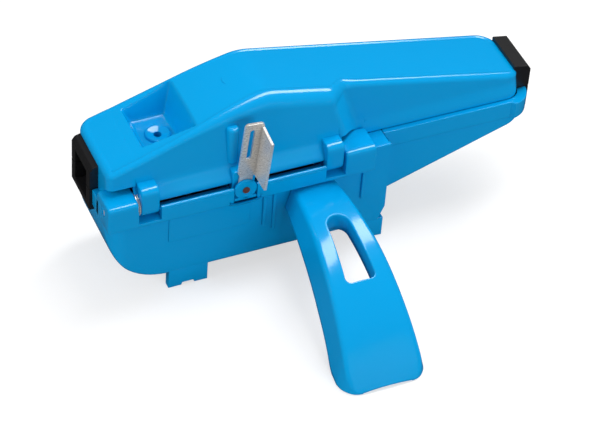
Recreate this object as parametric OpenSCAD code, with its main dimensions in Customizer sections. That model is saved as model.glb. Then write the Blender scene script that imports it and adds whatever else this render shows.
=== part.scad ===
// Chain cleaner: a deep open tank with a side-hinged lid. The chain runs along X through a
// window at each end, between spinning brush rollers and then between two sponges.
// A channel-shaped handle leaves the tank's near side (-Y) and curves down to the floor.
// Places are measured along X, from the chain's middle plane (Y) and from the floor (Z),
// and the whole is then moved so that its origin is below the middle of its outer box.

/* [Casing] */
// Left end of the tank's rim
rim_left = -114; // [-120:1:-112]
// Right end of the tank's rim
rim_right = 127.5; // [125:0.5:134]
// Height of the parting plane between tank and lid
part_z = 63.5; // [62:0.5:65]
// Lower edge of the rim
rim_low = 53; // [50:0.5:55]
// Near face of the rim on the wide part
rim_near = 36.8; // [35.5:0.1:39]
// Near face of the rim on the narrow part
rim_near_slim = 22.6; // [22.3:0.1:24]
// Far face of the rim
rim_far = 23; // [22.5:0.1:26]
// Distance from the rim's end faces to the end walls below them
end_setback = 3; // [2:0.5:4]
// Distance of the tank's near wall from the chain plane on the wide part
wall_near = 31.5; // [31:0.1:33]
// Distance of the tank's near wall from the chain plane on the narrow part
wall_near_slim = 21.6; // [21.3:0.1:22]
// Distance of the tank's far wall from the chain plane
wall_far = 20.5; // [20:0.1:21.5]
// Wall thickness of tank and lid
wall = 2.4; // [1.8:0.1:2.8]
// Corner radius of the casing seen from above
corner_r = 10; // [7:0.5:12]
// Right end of the tank's wide part
step_tank = 41.3; // [40:0.1:43]
// Where the lid's wide part begins to narrow
step_lid = 16; // [15:0.5:19]

/* [Tank floor] */
// Height of the tank's floor underside above the ground
floor_z = 10; // [8:0.5:12]
// Left end of the level floor
floor_left = -79; // [-82:1:-76]
// Height where the deep part meets the sloping floor
slope_low = 20.5; // [18:0.5:24]
// Height of the sloping floor at the right end
slope_high = 49.5; // [47:0.5:51]
// Width of a foot along X
foot_w = 21.5; // [16:0.5:24]
// Thickness of a foot
foot_t = 4.5; // [3.5:0.5:6]
// Left edge of the left feet
foot_left = -79; // [-80:1:-74]
// Left edge of the right feet
foot_right = 29.5; // [27:0.5:31]
// Width of a right foot along X
foot_w_right = 11.5; // [8:0.5:13]
// Height of the notch under a left foot
foot_notch = 1.6; // [1:0.1:3]
// Height of the posts that carry the lower brushes
post_top = 20; // [18:0.5:22]
// Radius of the posts
post_r = 5; // [4.5:0.1:6]
// Depth of the screw holes in the posts
post_depth = 6; // [5:0.5:7]
// Place of the left post along X
post_left = -41.5; // [-43:0.5:-40]
// Place of the right post along X
post_right = -8.5; // [-10:0.5:-8]
// Radius of the screws
screw_r = 1.4; // [1.2:0.1:1.6]
// Height of the screw heads
screw_head_h = 1.6; // [1.2:0.1:1.8]

/* [Near wall] */
// Width of the upright ribs
rib_w = 1.6; // [1.2:0.1:2]
// How far the ribs stand proud of the near wall
rib_proud = 1.4; // [1:0.1:2]
// Place of the left rib along X
rib_left_x = -29; // [-31:0.5:-28]
// Lower end of the left rib
rib_left_z = 29; // [27:0.5:31]
// Place of the middle rib along X
rib_mid_x = -23.5; // [-25:0.5:-22]
// Lower end of the middle rib
rib_mid_z = 25; // [23:0.5:27]
// Place of the right rib along X
rib_right_x = 26; // [24:0.5:28]
// Lower end of the right rib
rib_right_z = 31; // [29:0.5:33]
// Left edge of the raised panel
panel_left = -80; // [-82:0.5:-78]
// Right edge of the raised panel
panel_right = -36; // [-40:0.5:-33]
// Lower edge of the raised panel
panel_low = 33; // [31:0.5:36]
// How far the raised panel stands proud
panel_proud = 0.6; // [0.4:0.1:0.8]

/* [Lid] */
// Height of the lid's top at its left end
lid_left_z = 82; // [80:0.5:84]
// Height of the lid's top where the fill pocket begins
lid_pocket_z = 87.5; // [85:0.5:90]
// Height of the lid's ridge
lid_ridge_z = 106.5; // [104:0.5:110]
// Place of the ridge along X
lid_ridge_x = -26; // [-32:1:-20]
// Place along X where the lid's rise flattens before the ridge
lid_shoulder_x = -44; // [-48:1:-40]
// How far the lid's top lies there below the ridge
lid_shoulder_drop = 3.7; // [2.5:0.1:5]
// Height of the lid's top at its right end
lid_right_z = 77.8; // [76:0.2:80]
// Distance of the lid's near base from the chain plane on the wide part
lid_base = 32.2; // [31.6:0.1:32.6]
// Distance of the lid's near base from the chain plane on the narrow part
lid_base_slim = 19.8; // [19.4:0.1:20]
// Distance of the lid's far base from the chain plane
lid_base_far = 19.2; // [18.8:0.1:20]
// Distance of the lid's near top edge from the chain plane on the wide part
lid_top = 22.5; // [21:0.5:24]
// Distance of the lid's near top edge from the chain plane on the narrow part
lid_top_slim = 14.5; // [13.5:0.5:15.5]
// Distance of the lid's far top edge from the chain plane
lid_top_far = 17; // [16:0.5:18]
// Play between the lid's ends and the rim's end faces
lid_end_in = 3; // [2.5:0.5:4]
// Play between the lid's underside and the rim
lid_gap = 0.4; // [0.3:0.1:0.6]
// Height where the near wall's lower lip ends
lid_lip_z = 66; // [65.5:0.1:67]
// Height where the flare above the lip ends
lid_flare_z = 71; // [70:0.5:73]
// How far the near wall flares out on the wide part
lid_flare = 5; // [4:0.1:5.6]
// How far the near wall flares out on the narrow part
lid_flare_slim = 2.2; // [1.8:0.1:2.6]
// Radius of the lid's upper edge at its ends
lid_end_r = 8; // [6:0.5:9]
// Backward lean of the face where the lid narrows, in degrees
lid_step_tilt = 18; // [14:1:20]
// Place of the half-round stop beside the arm along X
stop_x = -45; // [-46:0.5:-44]
// Distance of the stop's middle from the chain plane
stop_y = 25.6; // [25:0.1:26]
// Radius of the stop
stop_r = 3.3; // [3:0.1:3.5]
// Lower end of the stop
stop_low = 73; // [72:0.5:75]
// Upper end of the stop
stop_high = 95; // [93:0.5:97]

/* [Fill pocket] */
// Left edge of the pocket
pocket_left = -89.5; // [-91:0.5:-87]
// Right edge of the pocket
pocket_right = -60; // [-63:0.5:-59]
// Near edge of the pocket, from the chain plane
pocket_near = 17.5; // [15:0.5:18]
// Far edge of the pocket, from the chain plane
pocket_far = 14.5; // [12:0.5:15]
// Height of the pocket's floor
pocket_z = 80; // [78:0.5:82]
// How far the pocket's left, near and far walls lean in
pocket_draft = 3.5; // [2:0.5:4]
// How far the pocket's right wall leans in
pocket_draft_right = 7; // [5:0.5:8]
// Radius of the fill hole
fill_r = 2; // [1.5:0.1:2.5]
// Outer radius of the ring around the fill hole
fill_ring_r = 6.5; // [6:0.1:7.5]
// Height of that ring
fill_ring_h = 1.2; // [0.8:0.1:1.6]
// Length of the spout below the pocket's floor
spout_l = 7; // [5:0.5:8]

/* [Hinge] */
// Distance of the hinge axis from the chain plane
hinge_y = 28.8; // [28.6:0.1:29.2]
// Height of the hinge axis
hinge_z = 62.3; // [61.9:0.1:62.5]
// Radius of the hinge pins
hinge_pin_r = 2.5; // [2:0.1:3]
// Running clearance of the pins, on the radius
pin_play = 0.05; // [0.03:0.01:0.08]
// Outer radius of the lid's knuckles
knuckle_r = 6.5; // [6:0.1:6.8]
// Right end of the left hinge block
block_left_end = -98; // [-99:0.5:-97]
// Left end of the lid's left knuckle
knuckle_left = -96; // [-96.5:0.5:-95.5]
// Length of a knuckle
knuckle_l = 9.5; // [8.5:0.5:10.5]
// Left end of the lid's right knuckle
knuckle_right = 3.6; // [2:0.2:4]
// Right end of the right hinge block
block_right_end = 30.7; // [29:0.1:33]
// Left end of the right hinge block
block_right_start = 13.9; // [13.8:0.1:14.2]
// Height of the hinge blocks' tops
block_z = 69; // [68.8:0.1:70]
// Clearance around the knuckles
knuckle_play = 0.6; // [0.4:0.1:0.8]
// Rounding of the hinge blocks' upper front edge
block_round = 2; // [1.5:0.1:2.5]
// How far the hinge blocks' tops reach behind the axis
block_back = 1.2; // [0.8:0.1:1.6]
// Radius of the hollows in the lid around the hinge blocks
recess_r = 10.4; // [10:0.1:11]
// Height of the knuckles' arms on the lid's wall
knuckle_top = 74.5; // [73:0.5:76]
// Distance of the rim's inner step from the chain plane
rim_rebate = 34.7; // [34.6:0.1:35]
// Height of the rim's inner step
rebate_z = 58; // [57:0.5:58.2]
// Radius and depth of the counterbore at the left pin's end
pin_ring_r = 4.6; // [4:0.1:5]
pin_ring_depth = 1.2; // [0.8:0.1:2]
// Thickness of one of the two steel washers beside the left knuckle
washer_t = 0.8; // [0.6:0.1:0.9]
// Outer radius of the washers
washer_r = 6; // [5.5:0.1:6.3]

/* [Holder arm] */
// Place of the arm's pin along X
arm_x = -41; // [-43:0.5:-39]
// Height of the arm's pin
arm_z = 61.5; // [61:0.1:62]
// Height of the arm's top above the pin
arm_h = 41; // [38:0.5:43]
// Width of the arm's plate
arm_w = 10.4; // [9.5:0.1:11]
// Depth of the arm's side flange
arm_flange = 12.5; // [9:0.5:14]
// Thickness of the arm's sheet
arm_t = 1.5; // [1.2:0.1:1.6]
// How far the arm leans to the right at rest, in degrees
arm_lean = 5; // [3:0.5:6]
// Height above the pin where the plate narrows to its neck
arm_neck_z = 9.6; // [9.4:0.1:10.5]
// Width of the neck
arm_neck_w = 7; // [6.6:0.1:7.4]
// Height above the pin where the side flange begins
arm_flange_z = 7.6; // [7.4:0.1:8.5]
// Width of the slot in the arm
arm_slot_w = 2.6; // [2:0.1:3]
// Length of the slot in the arm
arm_slot_l = 16; // [12:0.5:18]
// Radius of the arm's pin
arm_pin_r = 1.6; // [1.4:0.1:1.8]
// Width of the lid's lug that carries the arm
lug_w = 12; // [11.6:0.1:13]
// Thickness of the lug's outer ear
lug_ear = 1.7; // [1.5:0.1:1.8]
// Lower edge of the lug
lug_low = 55; // [54.6:0.1:55.2]
// Back of the lug, from the chain plane
lug_back = 31; // [30.5:0.1:31.4]
// Radius of the hollow in which the lug turns
lug_sweep = 11.3; // [11.2:0.1:11.8]
// Right edge of the arm's plate, from the pin
arm_right = 5.6; // [5.2:0.1:6]
// Corner radius of the arm's top
arm_edge_r = 2; // [1:0.2:2.5]
// Distance of the slot from the pin, to the left
arm_slot_off = 0.6; // [0:0.1:1]
// Height of the slot's lower end above the pin
arm_slot_z = 20; // [18:0.5:21]
// Height of the arm pin's head
arm_pin_head = 0.6; // [0.4:0.1:0.8]

/* [Handle] */
// Length of the handle from the tank's wall to its tip
handle_l = 102.5; // [92:0.5:108]
// Width of the handle's top at its root
handle_w_root = 24; // [22:0.5:26]
// Width of the handle's top at its tip
handle_w_tip = 43; // [38:1:45]
// How much wider the handle's rim is than its top
handle_flare = 3; // [2:0.5:4]
// Height of the handle's top at its root
handle_top_z = 51; // [49:0.5:52]
// Depth of the handle's side walls at its root
handle_depth = 15; // [13:0.5:17]
// Thickness of the handle's walls
handle_t = 2.5; // [2:0.1:3]
// Middle of the handle along X
handle_x = -1.8; // [-4:0.2:0]
// Width of the hang slot at its root end
slot_w_root = 13; // [11:0.5:14]
// Width of the hang slot at its tip end
slot_w_tip = 17; // [15:0.5:19]
// Where the hang slot begins, from the handle's root
slot_from = 27; // [25:0.5:30]
// Where the hang slot ends, from the handle's root
slot_to = 64; // [58:1:68]
// Rounding between the handle's top and its sides
handle_edge = 3; // [2:0.5:4]
// Share of the side's depth that the rounding takes
handle_edge_share = 0.16; // [0.1:0.02:0.2]
// Corner radius of the handle's tip
handle_corner_r = 7; // [5:0.5:9]
// Height of the handle's screws
handle_screw_z = 44.5; // [44:0.5:46]
// Distance between the handle's screws
handle_screw_gap = 13; // [11:0.5:14]

/* [Chain guides] */
// Width of a guide
guide_w = 26.6; // [24:0.2:28]
// Lower edge of the lower guides
guide_low = 50; // [49:0.5:51]
// Top of a guide's front face
guide_top = 75; // [74:0.5:75.5]
// How far a guide stands proud of the rim
guide_proud = 1.6; // [1.2:0.1:2]
// Width of the chain window
window_w = 16.6; // [14:0.2:17]
// Lower edge of the chain window
window_low = 53.6; // [53:0.2:54.5]
// Upper edge of the chain window
window_high = 72.4; // [71:0.2:73]
// Depth of a guide's seat in the rim
guide_depth = 6; // [5.5:0.1:7]
// Depth of the right upper guide's seat in the lid
guide_in = 2.5; // [2:0.1:3]
// Rise of the upper guides' hoods
guide_hood = 4; // [3:0.5:5]
// Share of the hood's rise at its front
guide_hood_share = 0.6; // [0.4:0.05:0.8]

/* [Brushes] */
// Radius of a lower brush roller
roller_r = 17; // [15:0.5:17.5]
// Radius of the upper brush roller
roller_r_up = 15; // [13:0.5:15.5]
// Width of a brush roller
roller_w = 18; // [15:0.5:18.4]
// Radius of a roller's hub
hub_r = 6; // [5:0.2:7]
// Place of the front lower roller along X
roller_front_x = -62; // [-64:1:-60]
// Place of the rear lower roller along X
roller_rear_x = 10; // [8:1:12]
// Height of the lower rollers' axles
roller_z = 44.5; // [43:0.5:46]
// Distance of the upper roller's axle below the lid's ridge
roller_up_drop = 25.5; // [24.5:0.5:26]
// Radius of an axle
axle_r = 2; // [1.8:0.1:2.4]
// Number of tufts around a roller
tufts = 18; // [14:1:22]
// Number of tuft rows across a roller
tuft_rows = 4; // [3:1:5]
// Thickness of a tuft
tuft_t = 1.8; // [1.4:0.1:2]
// Gap between a roller and the carriers' plates
plate_gap = 1.3; // [1:0.1:1.5]
// Thickness of the lower carrier's cross bars
bar_t = 4; // [3:0.5:5]
// Distance of the upper carrier's cross bar below the lid's ridge
bar_up_drop = 8.5; // [8.1:0.1:9]
// Depth of the upper screws in the lid's posts
screw_in = 3; // [2:0.5:3.5]
// Distance of the upper posts from the upper roller along X
upper_post_gap = 10; // [9:0.5:11]
// Left end of the side brushes
comb_left = 50; // [49:0.5:52]
// Right end of the side brushes
comb_right = 76; // [74:0.5:78]
// Distance of the side brushes' tips from the chain plane
comb_in = 4; // [3:0.5:5]
// Distance of the side brushes' backs from the chain plane
comb_mid = 12; // [11:0.5:13]
// Distance of the side brushes' outer faces from the chain plane
comb_out = 15.5; // [15:0.5:16.5]
// Lower edge of the side brushes
comb_z = 53.5; // [52:0.5:54]
// Height of the side brushes
comb_h = 9; // [8:0.5:9.5]
// Thickness of the brush carriers' plates
plate_t = 2; // [1.6:0.1:2.2]

/* [Sponges and magnet] */
// Left end of the sponges
sponge_left = 80; // [76:1:84]
// Right end of the sponges
sponge_right = 112; // [108:1:112]
// Width of the sponges
sponge_w = 24; // [20:1:25]
// Thickness of the lower sponge
sponge_t = 12; // [11:0.5:13]
// Thickness of the upper sponge
sponge_t_up = 9.5; // [8:0.5:10]
// Height of the lower sponge's underside
sponge_z = 49; // [48.5:0.1:49.5]
// Height of the upper sponge's underside
sponge_up_z = 65; // [64.5:0.1:66]
// Radius of the magnet
magnet_r = 8; // [7:0.5:9]
// Thickness of the magnet
magnet_t = 4; // [3:0.5:5]
// Place of the magnet along X
magnet_x = -26; // [-28:1:-24]

/* [Latch] */
// Width of the latch plate
latch_w = 26; // [22:1:30]
// Height of the latch's pin
latch_z = 57.5; // [57:0.5:58]
// Place of the latch along X
latch_x = -26; // [-36:1:-16]
// Height of the latch plate above its pin
latch_h = 16; // [14:0.5:18]
// Thickness of the latch plate
latch_t = 2.2; // [1.8:0.1:2.4]
// Radius of the latch pin
latch_pin_r = 1.5; // [1.2:0.1:1.7]
// Radius of the latch plate's knuckle
latch_knuckle_r = 3; // [2.7:0.1:3.2]
// Distance of the latch's pin from the rim's far face
latch_proud = 3.4; // [3.4:0.1:3.8]
// Thickness of the ears beside the latch
latch_ear = 3; // [2.5:0.1:4]
// Height of the lid's catch
catch_z = 66; // [65.5:0.1:67]
// Thickness of the catch
catch_h = 5; // [4:0.5:6]

/* [Hidden] */
$fn = 48;

// One overrun serves all cuts
over = 1;
// Gap between pieces that are fixed to each other
seat = 0.05;
// Clearance between separate pieces of two bodies
clear = 0.3;
// Running clearance of the rollers and screws, on the radius
run_fit = 0.05;
blue = "#0a8fd8";
dark = "#2b2b2e";
steel = "#c9c6c2";

// The outer box, from which the origin is set
latch_y = rim_far + latch_proud;
latch_out = latch_y + latch_knuckle_r;
box_x = (rim_left + rim_right) / 2;
handle_tip_y = -wall_near - handle_l;
box_y = (handle_tip_y + latch_out) / 2;

// Tank places
tank_left = rim_left + end_setback;
tank_right = rim_right - end_setback;
belly_r = floor_left - tank_left;
floor_top = floor_z + wall;
inner_near = wall_near - wall;
rib_places = [[rib_left_x, rib_left_z], [rib_mid_x, rib_mid_z], [rib_right_x, rib_right_z]];
post_places = [post_left, post_right];
upper_post_places = [magnet_x - upper_post_gap, magnet_x + upper_post_gap];
handle_screw_places = [handle_x - handle_screw_gap / 2, handle_x + handle_screw_gap / 2];
sponge_rib_places = [sponge_left + end_setback, (sponge_left + sponge_right) / 2, sponge_right - end_setback * 2];
latch_in = latch_y - latch_knuckle_r;
slope_rise = (slope_high - slope_low) / (tank_right - step_tank);

// Lid places
lid_shoulder_z = lid_ridge_z - lid_shoulder_drop;
roller_up_z = lid_ridge_z - roller_up_drop;
bar_up_z = lid_ridge_z - bar_up_drop;
lid_left = rim_left + lid_end_in;
lid_right = rim_right - lid_end_in - end_setback;
lid_low = part_z + lid_gap;
lid_step_w = lid_base - lid_base_slim;

// Places along the handle, as shares of its length and of its top's height
handle_top_shares = [[0, 1], [0.1, 1.008], [0.2, 1.008], [0.3, 0.99], [0.4, 0.95], [0.5, 0.882],
    [0.58, 0.808], [0.66, 0.713], [0.74, 0.598], [0.82, 0.463], [0.89, 0.318], [0.95, 0.17], [1, 0.02]];
handle_rim_shares = [[0, 0.735], [0.1, 0.725], [0.2, 0.69], [0.3, 0.63], [0.4, 0.56], [0.5, 0.47],
    [0.58, 0.38], [0.66, 0.285], [0.74, 0.16], [0.82, 0], [0.89, 0], [0.95, 0], [1, 0]];

function arc(c, r, a0, a1, n = 8) =
    [for (i = [0:n]) let (a = a0 + (a1 - a0) * i / n) c + r * [cos(a), sin(a)]];

// An outline of X and Z places, carried along Y
module along_y(y0, y1) translate([0, y1, 0]) rotate([90, 0, 0]) linear_extrude(y1 - y0) children();
// An outline of Y and Z places, carried along X
module along_x(x0, x1) translate([x0, 0, 0]) rotate([90, 0, 90]) linear_extrude(x1 - x0) children();
// A plain block between two corners
module block(a, b) translate(a) cube(b - a);
// A round bar along X
module bar_x(x0, x1, y, z, r) translate([x0, y, z]) rotate([0, 90, 0]) cylinder(h = x1 - x0, r = r);
// A round bar along Y
module bar_y(y0, y1, x, z, r) translate([x, y1, z]) rotate([90, 0, 0]) cylinder(h = y1 - y0, r = r);

// Outline seen from above: wide from the left end to the step on the near side
module plan(x0, x1, near, slim, far, step, r) polygon(concat(
    arc([x0 + r, -near + r], r, 180, 270),
    [[step, -near], [step, -slim]],
    arc([x1 - r, -slim + r], r, 270, 360),
    arc([x1 - r, far - r], r, 0, 90),
    arc([x0 + r, far - r], r, 90, 180)));

// Side outline of the tank, drawn in by t on every face and open at the top
module tank_side(t, top) polygon(concat(
    [[tank_right - t, top], [tank_left + t, top]],
    arc([floor_left, floor_z + belly_r], belly_r - t, 180, 270, 10),
    [[step_tank - t, floor_z + t], [step_tank - t, slope_low + t],
    [tank_right - t, slope_high + t - slope_rise * t]]));

module tank_body(t, top) intersection() {
    along_y(-wall_near - over, wall_far + over) tank_side(t, top);
    linear_extrude(top + over) plan(tank_left + t, tank_right - t, wall_near - t,
        wall_near_slim - t, wall_far - t, step_tank - t, corner_r - t);
}

module rim_plan() plan(rim_left, rim_right, rim_near, rim_near_slim, rim_far, block_right_end, corner_r);

// Places where a part of the lid turns inside the rim: from, to, radius and floor of the hollow
turn_r = knuckle_r + knuckle_play;
turns = [[block_left_end, knuckle_left + knuckle_l + knuckle_play, turn_r, hinge_z - turn_r],
    [knuckle_right - knuckle_play, block_right_start, turn_r, hinge_z - turn_r],
    [arm_x - lug_w / 2 - clear, arm_x + lug_w / 2 + clear, lug_sweep, lug_low - clear]];

module tank() color(blue) difference() {
    union() {
        difference() {
            union() {
                tank_body(0, part_z);
                translate([0, 0, rim_low]) linear_extrude(part_z - rim_low) rim_plan();
                // feet
                for (y = [-wall_near, wall_far - foot_t]) {
                    block([foot_left, y, 0], [foot_left + foot_w, y + foot_t, floor_top]);
                    block([foot_right, y, 0], [foot_right + foot_w_right, y + foot_t, floor_top]);
                }
                // upright ribs on the near wall
                for (r = rib_places)
                    block([r[0], -wall_near - rib_proud, r[1]], [r[0] + rib_w, -wall_near + wall, rim_low]);
                // raised panel on the near wall
                block([panel_left, -wall_near - panel_proud, panel_low],
                    [panel_right, -wall_near + wall, rim_low]);
            }
            tank_body(wall, part_z + over);
            // the rim's near side is lowered inside, where the lid's lower edge turns
            block([block_left_end, -rim_rebate, rebate_z],
                [block_right_start, -hinge_y + knuckle_r, part_z + over]);
        }
        // closed half rounds that keep the tank tight around the turning parts
        for (t = turns) intersection() {
            bar_x(t[0] - wall, t[1] + wall, -hinge_y, hinge_z, t[2] + wall);
            block([t[0] - wall, -wall_near, floor_z], [t[1] + wall, 0, rebate_z]);
        }
        // deck that closes the wide part beside the lid's narrow part
        block([block_right_start, -wall_near, part_z - wall], [step_tank, wall - wall_near_slim, part_z]);
        // hinge blocks
        block_shape(rim_left, block_left_end);
        block_shape(block_right_start, block_right_end);
        // posts for the brush carrier
        for (x = post_places) translate([x, 0, floor_z]) cylinder(h = post_top - floor_z, r = post_r);
        // ribs that hold the lower sponge
        for (x = sponge_rib_places) intersection() {
            block([x, -wall_near, floor_z], [x + wall, wall_far, sponge_z]);
            tank_body(wall / 2, part_z);
        }
        // ribs that hold the side brushes
        for (x = [comb_left + wall, comb_right - wall * 2]) intersection() {
            block([x, -wall_near, floor_z], [x + wall, wall_far, comb_z]);
            tank_body(wall / 2, part_z);
        }
        // ears of the latch
        for (x = [latch_x - latch_w / 2 - latch_ear, latch_x + latch_w / 2 + clear])
            along_x(x, x + latch_ear - clear) polygon([[wall_far, rim_low - latch_knuckle_r],
                [latch_y, latch_z - latch_knuckle_r], [latch_out, latch_z - latch_knuckle_r / 2],
                [latch_out, latch_z + latch_knuckle_r / 2], [latch_y, latch_z + latch_knuckle_r],
                [wall_far, part_z]]);
    }
    for (t = turns) {
        bar_x(t[0], t[1], -hinge_y, hinge_z, t[2]);
        block([t[0], -rim_near - over, t[3]], [t[1], -hinge_y, block_z + over]);
    }
    // foot notch
    for (y = [-wall_near, wall_far - foot_t])
        block([foot_left + foot_w / 3, y - over, -over],
            [foot_left + foot_w * 2 / 3, y + foot_t + over, foot_notch]);
    // bores of the hinge pins
    bar_x(rim_left - over, block_left_end + over, -hinge_y, hinge_z, hinge_pin_r);
    bar_x(rim_left - over, rim_left + pin_ring_depth, -hinge_y, hinge_z, pin_ring_r);
    bar_x(block_right_start - over, block_right_end + over, -hinge_y, hinge_z, hinge_pin_r);
    // seats of the chain guides in both ends
    for (s = [[rim_left - over, rim_left + guide_depth], [rim_right - guide_depth, rim_right + over]])
        block([s[0], -guide_w / 2, guide_low], [s[1], guide_w / 2, part_z + over]);
    block([rim_left - over, -window_w / 2, window_low],
        [rim_left + guide_depth + wall + over * 3, window_w / 2, part_z + over]);
    block([rim_right - guide_depth - wall - over * 3, -window_w / 2, window_low],
        [rim_right + over, window_w / 2, part_z + over]);
    // screw holes of the handle
    for (x = handle_screw_places)
        bar_y(-wall_near - over, -wall_near + wall + over, x, handle_screw_z, screw_r + run_fit);
    // screw holes of the carrier posts
    for (x = post_places) translate([x, 0, post_top - post_depth]) cylinder(h = post_depth + over, r = screw_r);
    // bore of the latch pin
    latch_bore();
}

module block_shape(x0, x1) along_x(x0, x1) polygon([[-rim_near, rim_low], [-rim_near, block_z - block_round],
    [-rim_near + block_round, block_z], [-hinge_y + block_back, block_z],
    [-hinge_y + knuckle_r, part_z], [-hinge_y + knuckle_r, rim_low]]);

module latch_bore() bar_x(latch_x - latch_w / 2 - latch_ear - over, latch_x + latch_w / 2 + latch_ear + over,
    latch_y, latch_z, latch_pin_r + run_fit);

// Side outline of the lid, drawn in by t
module lid_side(t) polygon(concat(
    [[lid_left + t, lid_low], [lid_right - t, lid_low]],
    arc([lid_right - lid_end_r, lid_right_z - lid_end_r], lid_end_r - t, 0, 78, 6),
    [[lid_ridge_x, lid_ridge_z - t], [lid_shoulder_x, lid_shoulder_z - t],
    [pocket_left, lid_pocket_z - t], [lid_left + lid_end_r / 2, lid_left_z - t],
    [lid_left + t, lid_left_z - lid_end_r / 2]]));

// Cross outline of the lid, drawn in by t
module lid_section(base, flare, top, t) polygon([[-base + t, lid_low], [-base + t, lid_lip_z],
    [-base + flare + t, lid_flare_z], [-top + t, lid_ridge_z + over],
    [lid_top_far - t, lid_ridge_z + over], [lid_base_far - t, lid_low]]);

module lid_plan(near, t) polygon(concat(
    arc([lid_left + corner_r, -near + corner_r], corner_r - t, 180, 270),
    arc([lid_right - corner_r, -near + corner_r], corner_r - t, 270, 360),
    arc([lid_right - corner_r, lid_base_far - corner_r], corner_r - t, 0, 90),
    arc([lid_left + corner_r, lid_base_far - corner_r], corner_r - t, 90, 180)));

module lid_body(t) intersection() {
    along_y(-lid_base - over, lid_base_far + over) lid_side(t);
    union() {
        difference() {
            intersection() {
                along_x(lid_left, step_lid + lid_step_w + over) lid_section(lid_base, lid_flare, lid_top, t);
                translate([0, 0, lid_low]) linear_extrude(lid_ridge_z) lid_plan(lid_base, t);
            }
            translate([step_lid, -lid_base, lid_low]) rotate([0, -lid_step_tilt, -45])
                translate([-t, -lid_ridge_z, -lid_ridge_z])
                cube([lid_ridge_z, lid_ridge_z * 2, lid_ridge_z * 2]);
        }
        intersection() {
            along_x(lid_ridge_x, lid_right) lid_section(lid_base_slim, lid_flare_slim, lid_top_slim, t);
            translate([0, 0, lid_low]) linear_extrude(lid_ridge_z) lid_plan(lid_base_slim, t);
        }
    }
}

// The fill pocket, made larger by t on every side but the top
module pocket(t) intersection() {
    along_y(-pocket_near - t, pocket_far + t) polygon([[pocket_left - t, lid_ridge_z],
        [pocket_left - t, lid_pocket_z], [pocket_left + pocket_draft - t, pocket_z - t],
        [pocket_right - pocket_draft_right + t, pocket_z - t],
        [pocket_right - pocket_draft + t, (pocket_z + lid_shoulder_z) / 2 - t],
        [pocket_right + t, lid_shoulder_z], [pocket_right + t, lid_ridge_z]]);
    along_x(pocket_left - t, pocket_right + t) polygon([[-pocket_near - t, lid_ridge_z],
        [-pocket_near - t, lid_pocket_z], [-pocket_near + pocket_draft - t, pocket_z - t],
        [pocket_far - pocket_draft + t, pocket_z - t], [pocket_far + t, lid_pocket_z],
        [pocket_far + t, lid_ridge_z]]);
}

fill_x = (pocket_left + pocket_right - pocket_draft_right + pocket_draft) / 2 + fill_ring_r / 8;
fill_y = (pocket_far - pocket_near) / 2 - fill_r / 2;

// Places of the hollows in the lid around the hinge blocks
hollows = [[lid_left - over, knuckle_left], [knuckle_right + knuckle_l, block_right_end + clear]];

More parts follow.
